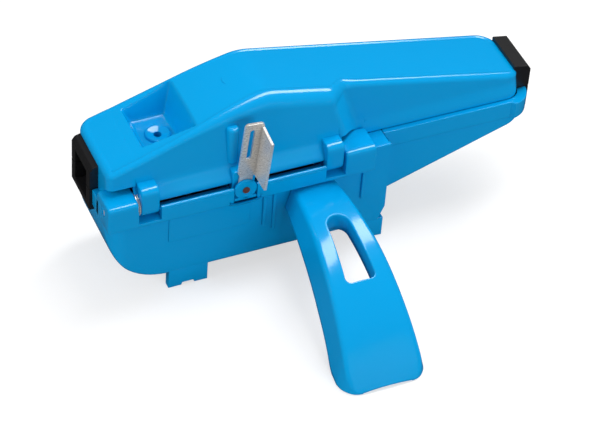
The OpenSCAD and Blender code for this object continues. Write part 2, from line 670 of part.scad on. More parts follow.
module lid() color(blue) difference() {
    union() {
        difference() {
            lid_body(0);
            difference() {
                union() {
                    lid_body(wall);
                    translate([0, 0, -over]) intersection() {
                        lid_body(wall);
                        block([lid_left, -lid_base, lid_low], [lid_right, lid_base, lid_low + over * 2]);
                    }
                }
                pocket(wall);
                for (h = hollows) bar_x(h[0] - wall, h[1] + wall, -hinge_y, hinge_z, recess_r + wall);
                for (x = upper_post_places) translate([x, 0, bar_up_z + plate_t + seat])
                    cylinder(h = lid_ridge_z, r = post_r);
                for (x = sponge_rib_places)
                    block([x, -lid_base, sponge_up_z + sponge_t_up + seat], [x + wall, lid_base, lid_ridge_z]);
            }
        }
        // knuckles and their arms
        for (x = [knuckle_left, knuckle_right]) {
            bar_x(x, x + knuckle_l, -hinge_y, hinge_z, knuckle_r);
            along_x(x, x + knuckle_l) polygon([[-hinge_y - knuckle_r, hinge_z],
                [-hinge_y - knuckle_r, knuckle_top - lid_flare / 2], [-hinge_y - knuckle_r + lid_flare / 2, knuckle_top],
                [-lid_base + lid_flare + wall, knuckle_top], [-hinge_y + wall, hinge_z]]);
        }
        // lug of the holder arm: two ears and the bridge below them
        lug();
        // half-round stop beside the arm
        intersection() {
            translate([stop_x, -stop_y, stop_low]) cylinder(h = stop_high - stop_low, r = stop_r);
            block([stop_x - stop_r, -lid_base, stop_low], [stop_x + stop_r, -lid_top, stop_high]);
        }
        translate([fill_x, fill_y, pocket_z - wall]) cylinder(h = wall + fill_ring_h, r = fill_ring_r);
        translate([fill_x, fill_y, pocket_z - spout_l]) cylinder(h = spout_l, r = fill_r + wall / 2);
        // catch for the latch plate
        block([latch_x - latch_w / 3, lid_top_far, catch_z], [latch_x + latch_w / 3, latch_in - clear, catch_z + catch_h]);
    }
    intersection() {
        pocket(0);
        translate([0, 0, pocket_z]) difference() {
            block([pocket_left - over, -lid_base, 0], [pocket_right + over, lid_base, lid_ridge_z]);
            translate([fill_x, fill_y, -over]) cylinder(h = over + fill_ring_h, r = fill_ring_r);
        }
    }
    translate([fill_x, fill_y, pocket_z - spout_l - over]) cylinder(h = spout_l + over * 4, r = fill_r);
    translate([fill_x, fill_y, pocket_z - fill_ring_h]) cylinder(h = fill_ring_h * 2 + seat,
        r1 = fill_r, r2 = fill_ring_r - fill_r / 2);
    for (h = hollows) bar_x(h[0], h[1], -hinge_y, hinge_z, recess_r);
    // bores of the hinge pins
    bar_x(knuckle_left - over, knuckle_left + knuckle_l + over, -hinge_y, hinge_z, hinge_pin_r + pin_play);
    bar_x(knuckle_right - over, knuckle_right + knuckle_l + over, -hinge_y, hinge_z, hinge_pin_r + pin_play);
    // seats and windows of the upper chain guides
    for (s = [[lid_left - over, rim_left + guide_depth], [lid_right - guide_in, lid_right + over]])
        block([s[0], -guide_w / 2, lid_low - over], [s[1], guide_w / 2, guide_top + guide_hood + seat]);
    block([lid_left - over, -window_w / 2, lid_low - over],
        [rim_left + guide_depth + wall + over * 3, window_w / 2, window_high]);
    block([lid_right - guide_in - wall - over * 3, -window_w / 2, lid_low - over],
        [lid_right + over, window_w / 2, window_high]);
    // screw holes of the brush carrier
    for (x = upper_post_places)
        translate([x, 0, bar_up_z + plate_t]) cylinder(h = screw_in, r = screw_r + run_fit);
}

module lug() difference() {
    union() {
        bar_y(-rim_near, -rim_near + lug_ear, arm_x, arm_z, lug_w / 2);
        along_y(-rim_near, -lug_back) polygon([[arm_x - lug_w / 2, lug_low + lug_ear],
            [arm_x - lug_w / 2 + lug_ear, lug_low], [arm_x + lug_w / 2 - lug_ear, lug_low],
            [arm_x + lug_w / 2, lug_low + lug_ear]]);
        along_y(-lug_back - lug_ear * 2, -lug_back) polygon([[arm_x - lug_w / 2, lug_low + lug_ear],
            [arm_x + lug_w / 2, lug_low + lug_ear], [arm_x + lug_w / 2, lid_flare_z],
            [arm_x - lug_w / 2, lid_flare_z]]);
    }
    block([arm_x - lug_w, -rim_near + lug_ear, lug_low + lug_ear],
        [arm_x + lug_w, -rim_near + lug_ear + arm_t + run_fit * 2, hinge_z + recess_r]);
    bar_y(-rim_near - over, -lug_back + over, arm_x, arm_z, arm_pin_r + run_fit);
}

// Cross loops of the handle from its root to its tip, drawn in by t and deepened by d
function handle_loop(i, t, d) = let (
    s = handle_top_shares[i][0],
    y = -wall_near - s * (handle_l - t),
    w = handle_w_root / 2 + (handle_w_tip - handle_w_root) / 2 * s - t,
    zt = handle_top_z * handle_top_shares[i][1] - t - t * s,
    zr = handle_top_z * handle_rim_shares[i][1] - d,
    zm = zt - (zt - zr) * handle_edge_share)
    [[handle_x - w - handle_flare, y, zr], [handle_x - w, y, zm], [handle_x - w + handle_edge, y, zt],
    [handle_x + w - handle_edge, y, zt], [handle_x + w, y, zm], [handle_x + w + handle_flare, y, zr]];

module handle_loft(t, d) {
    n = len(handle_top_shares);
    m = 6;
    places = [for (i = [0:n - 1]) each handle_loop(i, t, d)];
    sides = [for (i = [0:n - 2], j = [0:m - 1]) let (a = i * m + j, b = i * m + (j + 1) % m)
        each [[a, b, b + m], [a, b + m, a + m]]];
    ends = [[for (j = [m - 1:-1:0]) j], [for (j = [0:m - 1]) (n - 1) * m + j]];
    polyhedron(places, concat(sides, ends));
}

module handle_slot(t) translate([handle_x, 0, -over]) linear_extrude(handle_top_z + over * 3) polygon(concat(
    arc([0, -wall_near - slot_from - slot_w_root / 2], slot_w_root / 2 + t, 0, 180, 12),
    [[-slot_w_tip / 2 - t, -wall_near - slot_to + handle_edge],
    [-slot_w_tip / 2 + handle_edge, -wall_near - slot_to - t],
    [slot_w_tip / 2 - handle_edge, -wall_near - slot_to - t],
    [slot_w_tip / 2 + t, -wall_near - slot_to + handle_edge]]));

module handle() color(blue) difference() {
    union() {
        intersection() {
            difference() {
                handle_loft(0, 0);
                handle_loft(handle_t, handle_depth);
            }
            linear_extrude(handle_top_z + over) polygon(concat(
                [[handle_x + handle_w_tip, -wall_near], [handle_x - handle_w_tip, -wall_near]],
                arc([handle_x - handle_w_tip / 2 - handle_flare + handle_corner_r, handle_tip_y + handle_corner_r],
                    handle_corner_r, 180, 270),
                arc([handle_x + handle_w_tip / 2 + handle_flare - handle_corner_r, handle_tip_y + handle_corner_r],
                    handle_corner_r, 270, 360)));
        }
        // rim walls around the hang slot
        intersection() {
            handle_slot(handle_t);
            difference() {
                handle_loft(0, 0);
                handle_loft(handle_t * 2, handle_depth);
            }
        }
        // end plate against the tank's wall
        intersection() {
            block([handle_x - handle_w_tip, -wall_near - handle_t, 0],
                [handle_x + handle_w_tip, -wall_near - seat, handle_top_z + over]);
            handle_loft(0, 0);
        }
    }
    handle_slot(0);
    for (x = handle_screw_places)
        bar_y(-wall_near - handle_t - over, -wall_near, x, handle_screw_z, screw_r + run_fit);
    block([handle_x - handle_w_tip, -wall_near - seat, 0],
        [handle_x + handle_w_tip, -wall_near + over, handle_top_z + over]);
}

module handle_screws() color(steel) for (x = handle_screw_places) {
    bar_y(-wall_near - handle_t - over, -inner_near + seat, x, handle_screw_z, screw_r);
    bar_y(-inner_near + seat, -inner_near + seat + screw_head_h, x, handle_screw_z, screw_r * 2);
}

module hinge_pin_left() color(steel) bar_x(rim_left + pin_ring_depth / 2, knuckle_left + knuckle_l - over,
    -hinge_y, hinge_z, hinge_pin_r);
module hinge_pin_right() color(steel) bar_x(knuckle_right + over, block_right_end - over,
    -hinge_y, hinge_z, hinge_pin_r);

module hinge_washers() color(steel) for (x = [block_left_end + washer_t / 8, knuckle_left - washer_t * 9 / 8])
    difference() {
        bar_x(x, x + washer_t, -hinge_y, hinge_z, washer_r);
        bar_x(x - over, x + washer_t + over, -hinge_y, hinge_z, hinge_pin_r + pin_play);
    }

arm_y = -rim_near + lug_ear + run_fit;

module holder_arm() color(steel) translate([arm_x, 0, arm_z]) rotate([0, arm_lean, 0]) difference() {
    union() {
        along_y(arm_y, arm_y + arm_t) polygon(concat(arc([0, 0], arm_neck_w / 2, 180, 360),
            [[arm_neck_w / 2, arm_flange_z], [arm_right, arm_flange_z], [arm_right, arm_h - arm_edge_r]],
            arc([arm_right - arm_edge_r, arm_h - arm_edge_r], arm_edge_r, 0, 90, 4),
            arc([arm_right - arm_w + arm_edge_r, arm_h - arm_edge_r], arm_edge_r, 90, 180, 4),
            [[arm_right - arm_w, arm_neck_z], [-arm_neck_w / 2, arm_neck_z - arm_edge_r]]));
        along_x(arm_right - arm_t, arm_right) polygon([[arm_y + arm_t, arm_flange_z],
            [arm_y - arm_flange, arm_flange_z], [arm_y - arm_flange, arm_h - arm_edge_r * 2],
            [arm_y + arm_t, arm_h - arm_edge_r]]);
    }
    bar_y(arm_y - over, arm_y + arm_t + over, 0, 0, arm_pin_r + run_fit);
    translate([-arm_slot_off, 0, arm_slot_z]) {
        bar_y(arm_y - over, arm_y + arm_t + over, 0, 0, arm_slot_w / 2);
        bar_y(arm_y - over, arm_y + arm_t + over, 0, arm_slot_l, arm_slot_w / 2);
        block([-arm_slot_w / 2, arm_y - over, 0], [arm_slot_w / 2, arm_y + arm_t + over, arm_slot_l]);
    }
}

module holder_arm_pin() color(dark) {
    bar_y(-rim_near - seat, -lug_back, arm_x, arm_z, arm_pin_r);
    bar_y(-rim_near - seat - arm_pin_head, -rim_near - seat, arm_x, arm_z, arm_pin_r + run_fit * 6);
}

// A chain guide of the left end: a frame around the chain's way, divided at the parting plane
module guide(depth, low, high, hood) difference() {
    union() {
        block([-guide_proud, -guide_w / 2 + seat, low], [depth - seat, guide_w / 2 - seat, high]);
        if (hood > 0) along_y(-guide_w / 2 + seat, guide_w / 2 - seat) polygon([[-guide_proud, high],
            [0, high + hood * guide_hood_share], [depth - seat, high + hood], [depth - seat, high]]);
    }
    block([-guide_proud - over, -window_w / 2, window_low], [depth + over, window_w / 2, window_high]);
}

module chain_guide_lower_left() color(dark) translate([rim_left, 0, 0])
    guide(guide_depth, guide_low + seat, lid_low - clear, 0);
module chain_guide_upper_left() color(dark) translate([rim_left, 0, 0])
    guide(guide_depth, lid_low, guide_top, guide_hood);
module chain_guide_lower_right() color(dark) translate([rim_right, 0, 0]) mirror([1, 0, 0])
    guide(guide_depth, guide_low + seat, lid_low - clear, 0);
module chain_guide_upper_right() color(dark) translate([rim_right, 0, 0]) mirror([1, 0, 0])
    guide(rim_right - lid_right + guide_in, lid_low, guide_top, guide_hood);

module latch_lever() color(blue) difference() {
    union() {
        bar_x(latch_x - latch_w / 2, latch_x + latch_w / 2, latch_y, latch_z, latch_knuckle_r);
        along_x(latch_x - latch_w / 2, latch_x + latch_w / 2) polygon([[latch_in, latch_z],
            [latch_in, latch_z + latch_h], [latch_in + latch_t / 2, latch_z + latch_h + latch_t / 2],
            [latch_in + latch_t * 1.5, latch_z + latch_h + latch_t / 2],
            [latch_in + latch_t, latch_z + latch_h - latch_t], [latch_in + latch_t, latch_z]]);
    }
    latch_bore();
}

module latch_pin() color(steel) bar_x(latch_x - latch_w / 2 - latch_ear, latch_x + latch_w / 2 + latch_ear,
    latch_y, latch_z, latch_pin_r);

module roller(x, z, r) color(dark) difference() {
    union() {
        bar_y(-roller_w / 2, roller_w / 2, x, z, hub_r);
        translate([x, 0, z]) for (i = [0:tufts - 1], j = [0:tuft_rows - 1])
            rotate([0, (i + (j % 2) / 2) * 360 / tufts, 0])
            block([-tuft_t / 2, -roller_w / 2 + (j + 1 / 8) * roller_w / tuft_rows, hub_r - over],
                [tuft_t / 2, -roller_w / 2 + (j + 7 / 8) * roller_w / tuft_rows, r]);
    }
    bar_y(-roller_w, roller_w, x, z, axle_r + run_fit);
}

module brush_lower_front() roller(roller_front_x, roller_z, roller_r);
module brush_lower_rear() roller(roller_rear_x, roller_z, roller_r);
module brush_upper() roller(magnet_x, roller_up_z, roller_r_up);

// Inner and outer faces of the carriers' plates, from the chain plane
plate_in = roller_w / 2 + plate_gap;
plate_out = plate_in + plate_t;

module axle(x, z) color(steel) bar_y(-plate_out, plate_out, x, z, axle_r);
module axle_lower_front() axle(roller_front_x, roller_z);
module axle_lower_rear() axle(roller_rear_x, roller_z);
module axle_upper() axle(magnet_x, roller_up_z);

module carrier_lower() color(dark) difference() {
    union() {
        for (y = [-plate_out, plate_in]) {
            block([roller_front_x, y, roller_z - hub_r], [roller_rear_x, y + plate_t, roller_z + hub_r]);
            for (x = [roller_front_x, roller_rear_x]) bar_y(y, y + plate_t, x, roller_z, hub_r);
            for (x = post_places) block([x - post_r, y, post_top + seat],
                [x + post_r, y + plate_t, roller_z - hub_r + over]);
        }
        for (x = post_places) block([x - post_r, -plate_out, post_top + seat],
            [x + post_r, plate_out, post_top + seat + bar_t]);
    }
    for (x = [roller_front_x, roller_rear_x])
        bar_y(-plate_out - over, plate_out + over, x, roller_z, axle_r + run_fit);
    for (x = post_places) translate([x, 0, post_top]) cylinder(h = bar_t * 2, r = screw_r + run_fit);
}

module carrier_upper() color(dark) difference() {
    union() {
        for (y = [-plate_out, plate_in]) {
            block([magnet_x - hub_r, y, roller_up_z], [magnet_x + hub_r, y + plate_t, bar_up_z + plate_t]);
            bar_y(y, y + plate_t, magnet_x, roller_up_z, hub_r);
        }
        block([upper_post_places[0] - post_r, -plate_out, bar_up_z],
            [upper_post_places[1] + post_r, plate_out, bar_up_z + plate_t]);
    }
    bar_y(-plate_out - over, plate_out + over, magnet_x, roller_up_z, axle_r + run_fit);
    for (x = upper_post_places) translate([x, 0, bar_up_z - over])
        cylinder(h = plate_t + over * 2, r = screw_r + run_fit);
}

module carrier_screws_lower() color(steel) for (x = post_places) {
    translate([x, 0, post_top - post_depth + seat]) cylinder(h = post_depth + bar_t + seat * 2, r = screw_r);
    translate([x, 0, post_top + seat * 2 + bar_t]) cylinder(h = screw_head_h, r = screw_r * 2);
}

module carrier_screws_upper() color(steel) for (x = upper_post_places) {
    translate([x, 0, bar_up_z - seat]) cylinder(h = plate_t + screw_in - seat, r = screw_r);
    translate([x, 0, bar_up_z - seat - screw_head_h]) cylinder(h = screw_head_h, r = screw_r * 2);
}

module side_brushes() color(dark) for (s = [-1, 1]) {
    block([comb_left, min(s * comb_mid, s * comb_out), comb_z + seat],
        [comb_right, max(s * comb_mid, s * comb_out), comb_z + comb_h]);
    n = floor((comb_right - comb_left) / (tuft_t * 2));
    for (i = [0:n - 1]) block([comb_left + (i + 1 / 4) * (comb_right - comb_left) / n,
        min(s * comb_in, s * comb_mid), comb_z + seat + tuft_t],
        [comb_left + (i + 3 / 4) * (comb_right - comb_left) / n,
        max(s * comb_in, s * comb_mid), comb_z + comb_h - tuft_t]);
}

module sponge_lower() color("#d9c46a") block([sponge_left, -sponge_w / 2, sponge_z + seat],
    [sponge_right, sponge_w / 2, sponge_z + sponge_t]);
module sponge_upper() color("#d9c46a") block([sponge_left, -sponge_w / 2, sponge_up_z],
    [sponge_right, sponge_w / 2, sponge_up_z + sponge_t_up]);

module magnet() color(steel) translate([magnet_x, 0, floor_top + seat]) cylinder(h = magnet_t, r = magnet_r);
module magnet_cover() color(dark) translate([magnet_x, 0, floor_top + seat]) difference() {
    cylinder(h = magnet_t + plate_t, r = magnet_r + plate_t);
    translate([0, 0, -over]) cylinder(h = magnet_t + seat + over, r = magnet_r + seat);
}

// The whole is moved onto its origin
module placed() translate([-box_x, -box_y, 0]) children();

placed() tank();
placed() lid();
placed() handle();
placed() handle_screws();
placed() hinge_pin_left();
placed() hinge_pin_right();
placed() hinge_washers();
placed() holder_arm();
placed() holder_arm_pin();
placed() chain_guide_lower_left();
placed() chain_guide_upper_left();
placed() chain_guide_lower_right();
placed() chain_guide_upper_right();
placed() latch_lever();
placed() latch_pin();
placed() brush_lower_front();
placed() brush_lower_rear();
placed() brush_upper();
placed() axle_lower_front();
placed() axle_lower_rear();
placed() axle_upper();
placed() carrier_lower();
placed() carrier_upper();
placed() carrier_screws_lower();
placed() carrier_screws_upper();
placed() side_brushes();
placed() sponge_lower();
placed() sponge_upper();
placed() magnet();
placed() magnet_cover();
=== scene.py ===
"""Looks of the bike chain cleaner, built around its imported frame. Everything is in metres."""
import math

import bpy
import numpy as np
from mathutils import Matrix, Vector


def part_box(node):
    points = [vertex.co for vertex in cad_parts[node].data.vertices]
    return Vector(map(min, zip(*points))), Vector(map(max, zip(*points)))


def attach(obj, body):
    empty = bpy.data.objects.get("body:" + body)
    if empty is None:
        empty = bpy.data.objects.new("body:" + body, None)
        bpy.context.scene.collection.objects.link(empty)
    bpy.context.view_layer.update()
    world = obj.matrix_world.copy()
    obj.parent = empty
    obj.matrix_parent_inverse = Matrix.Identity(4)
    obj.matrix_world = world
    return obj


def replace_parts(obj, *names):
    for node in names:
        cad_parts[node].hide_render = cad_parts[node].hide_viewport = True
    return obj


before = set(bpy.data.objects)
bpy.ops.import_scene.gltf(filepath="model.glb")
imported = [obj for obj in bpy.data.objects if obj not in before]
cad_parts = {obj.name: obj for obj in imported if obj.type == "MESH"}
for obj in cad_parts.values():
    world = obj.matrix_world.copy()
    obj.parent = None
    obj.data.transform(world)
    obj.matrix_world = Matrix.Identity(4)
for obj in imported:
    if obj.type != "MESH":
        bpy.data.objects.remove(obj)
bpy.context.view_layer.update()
MM = 0.001

# The middle of the rollers is the chain plane, and the left guide's outer face sets X
CHAIN_Y = (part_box("axle_upper")[0].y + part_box("axle_upper")[1].y) / 2
GUIDE_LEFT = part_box("chain_guide_lower_left")[0].x
GUIDE_X = -115.6 * MM
ORIGIN = np.array([GUIDE_LEFT - GUIDE_X, CHAIN_Y, 0.0])


def smooth_step(t):
    """Rises from 0 to 1 with level ends: 3t^2 - 2t^3, held outside 0 to 1."""
    t = np.clip(t, 0.0, 1.0)
    return t * t * (3.0 - 2.0 * t)


def ramp(x, a, b):
    """Smooth step from 0 at a to 1 at b."""
    return smooth_step((x - a) / (b - a))


# Finishes

PEEL_DEPTH, LINE_DEPTH, PORE_DEPTH = 0.1 * MM, 0.05 * MM, 0.6 * MM


def feed(tree, made, terms):
    """Gives a node its inputs: a term that is a socket is joined, and a plain value is set."""
    for key, term in terms.items():
        if isinstance(term, bpy.types.NodeSocket):
            tree.links.new(term, made.inputs[key])
        else:
            made.inputs[key].default_value = term


def node(tree, kind, terms=None, **settings):
    """Adds a shader node with its settings and its inputs."""
    made = tree.nodes.new(kind)
    for key, value in settings.items():
        setattr(made, key, value)
    feed(tree, made, terms or {})
    return made


def maths(tree, operation, *terms):
    """What a math node makes of its terms."""
    return node(tree, "ShaderNodeMath", dict(enumerate(terms)), operation=operation).outputs[0]


def noise(tree, place, scale, detail=2.0):
    """The value of a noise texture at a place."""
    terms = {"Vector": place, "Scale": scale, "Detail": detail}
    return node(tree, "ShaderNodeTexNoise", terms).outputs["Fac"]


def dents(tree, height, strength, depth):
    """The normal of a surface with a height that changes; depth is in metres."""
    terms = {"Height": height, "Strength": strength, "Distance": depth}
    return node(tree, "ShaderNodeBump", terms).outputs["Normal"]


def two_tones(tree, value, colour, dark_share, low=0.0, high=1.0):
    """A colour that goes from a darker tone where the value is low to itself where it is high."""
    made = node(tree, "ShaderNodeValToRGB", {"Fac": value})
    dark, light = made.color_ramp.elements
    dark.position, light.position = low, high
    dark.color = (*[c * dark_share for c in colour], 1)
    light.color = (*colour, 1)
    return made.outputs["Color"]


def moulded_group():
    """Moulded plastic: a faint orange-peel normal, slow colour drift and fine roughness changes."""
    g = bpy.data.node_groups.new("moulded_surface", "ShaderNodeTree")
    for name, kind, value in (("Colour", "Color", (0.5, 0.5, 0.5, 1)), ("Roughness", "Float", 0.3),
                              ("Drift", "Float", 0.05), ("Peel", "Float", 0.1), ("Grain", "Float", 220.0)):
        made = g.interface.new_socket(name=name, socket_type="NodeSocket" + kind, in_out="INPUT")
        made.default_value = value
    for name, kind in (("Colour", "Color"), ("Roughness", "Float"), ("Normal", "Vector")):
        g.interface.new_socket(name=name, socket_type="NodeSocket" + kind, in_out="OUTPUT")
    given = node(g, "NodeGroupInput").outputs
    place = node(g, "ShaderNodeTexCoord").outputs["Object"]
    slow, fine = noise(g, place, 22.0, 3.0), noise(g, place, given["Grain"])
    drift = maths(g, "MULTIPLY", maths(g, "SUBTRACT", slow, 0.5), given["Drift"])
    terms = {"Color": given["Colour"], "Value": maths(g, "ADD", drift, 1.0)}
    tone = node(g, "ShaderNodeHueSaturation", terms)
    node(g, "NodeGroupOutput", {"Colour": tone.outputs["Color"],
                                "Roughness": maths(g, "MULTIPLY_ADD", fine, 0.06, given["Roughness"]),
                                "Normal": dents(g, fine, given["Peel"], PEEL_DEPTH)})
    return g


MOULDED = moulded_group()


def new_material(name):
    """A material, its node tree and its shader."""
    m = bpy.data.materials.new(name)
    m.use_nodes = True
    return m, m.node_tree, m.node_tree.nodes["Principled BSDF"]


def plastic(name, colour, roughness, drift, peel, grain, coat=0.0):
    """A moulded plastic from the shared group, glossier where its mould was polished."""
    m, tree, shader = new_material(name)
    terms = {"Colour": (*colour, 1), "Roughness": roughness, "Drift": drift, "Peel": peel, "Grain": grain}
    skin = node(tree, "ShaderNodeGroup", terms, node_tree=MOULDED).outputs
    feed(tree, shader, {"Base Color": skin["Colour"], "Roughness": skin["Roughness"],
                        "Normal": skin["Normal"], "Coat Weight": coat, "Coat Roughness": 0.05})
    return m


def steel(name, colour, roughness):
    """Bare steel with fine drawn lines and a cloudy polish."""
    m, tree, shader = new_material(name)
    place = node(tree, "ShaderNodeTexCoord").outputs["Object"]
    drawn = node(tree, "ShaderNodeMapping", {"Vector": place, "Scale": (1.0, 1.0, 12.0)}).outputs["Vector"]
    lines, cloud = noise(tree, drawn, 900.0), noise(tree, place, 60.0)
    feed(tree, shader, {"Metallic": 0.55, "Base Color": two_tones(tree, cloud, colour, 0.82),
                        "Roughness": maths(tree, "MULTIPLY_ADD", lines, 0.16, roughness),
                        "Normal": dents(tree, lines, 0.15, LINE_DEPTH)})
    return m


def foam(name, colour):
    """Open-cell foam: dented pores with painted shade in them, on a soft matte body."""
    m, tree, shader = new_material(name)
    place = node(tree, "ShaderNodeTexCoord").outputs["Object"]
    cells = node(tree, "ShaderNodeTexVoronoi", {"Vector": place, "Scale": 900.0}).outputs["Distance"]
    # Painted shade: the colour darkens towards each cell's middle, deep in the pore
    feed(tree, shader, {"Base Color": two_tones(tree, cells, colour, 0.35, 0.1, 0.45), "Roughness": 0.95,
                        "Sheen Weight": 0.3, "Normal": dents(tree, cells, 0.8, PORE_DEPTH)})
    return m


BLUE = plastic("blue_plastic", (0.0, 0.345, 0.745), 0.13, drift=0.05, peel=0.06, grain=160.0, coat=0.25)
BLACK = plastic("black_plastic", (0.012, 0.012, 0.013), 0.36, drift=0.3, peel=0.25, grain=600.0)
BROWN = plastic("brown_plastic", (0.12, 0.045, 0.035), 0.4, drift=0.3, peel=0.2, grain=500.0)
NYLON = plastic("bristle_nylon", (0.02, 0.02, 0.024), 0.45, drift=0.4, peel=0.1, grain=900.0)
STEEL = steel("bright_steel", (0.92, 0.89, 0.84), 0.2)
FOAM = foam("foam", (0.58, 0.46, 0.16))

# Mesh helpers


def grid_faces(rows, cols, closed=False):
    """Quads of a grid of rows times cols points; in a closed grid the last column meets the first."""
    a, b = np.meshgrid(np.arange(rows - 1) * cols, np.arange(cols if closed else cols - 1), indexing="ij")
    b2 = (b + 1) % cols
    return np.stack([a + b, a + b2, a + cols + b2, a + cols + b], -1).reshape(-1, 4)


def new_object(name, data):
    """A new object in the scene."""
    o = bpy.data.objects.new(name, data)
    bpy.context.scene.collection.objects.link(o)
    return o


def mesh_piece(name, points, faces, material, body, smooth=45.0, slot=None):
    """A new object from points in metres, riding on a body. A slot name is worked out from slot, or from its
    material's name without the number that Blender adds to a name in use, but it is not given to the object."""
    me = bpy.data.meshes.new(name)
    me.from_pydata(points.tolist(), [], faces if isinstance(faces, list) else faces.tolist())
    me.update()
    me.polygons.foreach_set("use_smooth", np.ones(len(me.polygons), bool))
    me.set_sharp_from_angle(angle=math.radians(smooth))
    me.materials.append(material)
    o = new_object(name, me)
    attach(o, body)
    slot = slot or material.name.partition(".")[0]
    return o


def modify(o, name, kind, **settings):
    """Gives an object a modifier with its settings."""
    made = o.modifiers.new(name, kind)
    for key, value in settings.items():
        setattr(made, key, value)
    return o


def joined(o, reach):
    """Joins the points of an object that lie within reach of each other."""
    return modify(o, "joined", "WELD", merge_threshold=reach)


def wall(o, thickness):
    """Gives an open shell its thickness, inwards."""
    return modify(o, "wall", "SOLIDIFY", thickness=thickness, offset=-1.0, use_even_offset=False)


def finish_node(name, material, width):
    """Gives a CAD node its finish, and rounds its edges as moulding or turning leaves them."""
    o = joined(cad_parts[name], 0.01 * MM)
    o.data.materials.clear()
    o.data.materials.append(material)
    modify(o, "flats", "DECIMATE", decimate_type="DISSOLVE", angle_limit=math.radians(0.5))
    modify(o, "rounding", "BEVEL", width=width, segments=2, limit_method="ANGLE",
           angle_limit=math.radians(35.0))


# Surface helpers


def place(points):
    """From the measured frame in millimetres to the row frame in metres."""
    return np.asarray(points, float) * MM + ORIGIN


def smooth_min(a, b, k):
    """The lower of two values, with a quadratic fillet of width k where they cross."""
    h = np.clip(0.5 + 0.5 * (b - a) / k, 0.0, 1.0)
    return b * (1 - h) + a * h - k * h * (1 - h)


def smooth_max(a, b, k):
    """The higher of two values, with a quadratic fillet of width k where they cross."""
    return -smooth_min(-a, -b, k)


def hermite(x, xs, ys):
    """Cubic through given points: h00 y0 + h10 m0 + h01 y1 + h11 m1 with middle slopes."""
    xs, ys = np.asarray(xs, float), np.asarray(ys, float)
    slope = np.gradient(ys, xs)
    i = np.clip(np.searchsorted(xs, x, side="right") - 1, 0, len(xs) - 2)
    h = xs[i + 1] - xs[i]
    t = (x - xs[i]) / h
    a, b = 2 * t ** 3 - 3 * t ** 2 + 1, t ** 3 - 2 * t ** 2 + t
    return a * ys[i] + b * h * slope[i] + (1 - a) * ys[i + 1] + (t ** 3 - t ** 2) * h * slope[i + 1]


def dense(stops, steps):
    """Values from stop to stop, each span cut into its own number of steps."""
    parts = [np.linspace(a, b, n, endpoint=False) for a, b, n in zip(stops[:-1], stops[1:], steps)]
    return np.concatenate(parts + [np.array([stops[-1]])])


def straight(x, a, b):
    """Height at x of the straight line through the places a and b."""
    return a[1] + (x - a[0]) * (b[1] - a[1]) / (b[0] - a[0])


# Angles round an axis, the ease of an outline's corners and a distance past any outline
AROUND = np.linspace(0, 2 * math.pi, 96, endpoint=False)
AROUND_COS, AROUND_SIN = np.cos(AROUND), np.sin(AROUND)
EASE, OUTSIDE = 1.6, 60.0


def soft_polar(planes):
    """Distance from an axis to a convex outline of half planes (ny, nz, distance), by angle: the
    least of the distances, with its corners eased by -log(sum(exp(-s d))) / s."""
    total = np.zeros(len(AROUND))
    for ny, nz, far in planes:
        lean = ny * AROUND_COS + nz * AROUND_SIN
        d = np.where(lean > 1e-3, far / np.maximum(lean, 1e-3), OUTSIDE)
        total += np.exp(-EASE * np.minimum(d, OUTSIDE))
    return -np.log(total) / EASE


def about_hinge(r):
    """The outline at distances r from the hinge axis."""
    return np.stack([HINGE_Y + r * AROUND_COS, HINGE_Z + r * AROUND_SIN], -1)


def merged(name, patches, material, body, smooth):
    """One object from several grid patches (points, faces); points that coincide are joined."""
    pts, faces, n = [], [], 0
    for p, f in patches:
        pts.append(p.reshape(-1, 3))
        faces.append(f + n)
        n += len(pts[-1])
    pts, faces = np.concatenate(pts), np.concatenate(faces)
    key = np.round(pts / (0.01 * MM)).astype(np.int64)
    _, first, back = np.unique(key, axis=0, return_index=True, return_inverse=True)
    lists = [list(dict.fromkeys(f)) for f in back.reshape(-1)[faces].tolist()]
    return mesh_piece(name, pts[first], [f for f in lists if len(f) > 2], material, body, smooth)


def swept(name, body, outer, span, axis, edge=0.4, bore=None, material=BLUE):
    """A closed outline carried straight over a span of an axis. outer is a loop of places in the
    other two directions, and bore is (place, place, radius) of a hole. The outer edge is rounded
    over a radius of edge: inset e (1 - sin t), travel e (1 - cos t)."""
    outer = np.asarray(outer, float)
    n = len(outer)
    turn = np.roll(outer, -1, 0) - np.roll(outer, 1, 0)
    normal = np.stack([-turn[:, 1], turn[:, 0]], -1)
    normal /= np.maximum(np.linalg.norm(normal, axis=1, keepdims=True), 1e-9)
    area = np.sum(outer[:, 0] * np.roll(outer[:, 1], -1) - np.roll(outer[:, 0], -1) * outer[:, 1])
    normal *= np.sign(area)
    t = np.linspace(0, math.pi / 2, 5)
    inset = np.concatenate([edge * (1 - np.sin(t)), edge * (1 - np.sin(t[::-1]))])
    travel = np.concatenate([span[0] + edge * (1 - np.cos(t)), span[1] - edge * (1 - np.cos(t[::-1]))])
    loops = [outer + normal * e for e in inset]
    if bore:
        hole = circle(*bore, n)
        loops = [hole] + loops + [hole, hole]
        travel = np.concatenate([[span[0]], travel, [span[1], span[0]]])
    rings = np.stack([np.concatenate([np.full((n, 1), d), loop], 1) for d, loop in zip(travel, loops)])
    rings = rings[..., {"x": (0, 1, 2), "y": (1, 0, 2), "z": (1, 2, 0)}[axis]]
    faces = grid_faces(len(rings), n, closed=True).tolist()
    if not bore:
        faces += [list(range(n))[::-1], [(len(rings) - 1) * n + i for i in range(n)]]
    if (area < 0) == (axis == "y"):
        faces = [f[::-1] for f in faces]
    return mesh_piece(name, place(rings.reshape(-1, 3)), faces, material, body, 35.0)


def circle(y, z, r, n):
    """n places around a circle."""
    t = np.linspace(0, 2 * math.pi, n, endpoint=False)
    return np.stack([y + r * np.cos(t), z + r * np.sin(t)], -1)


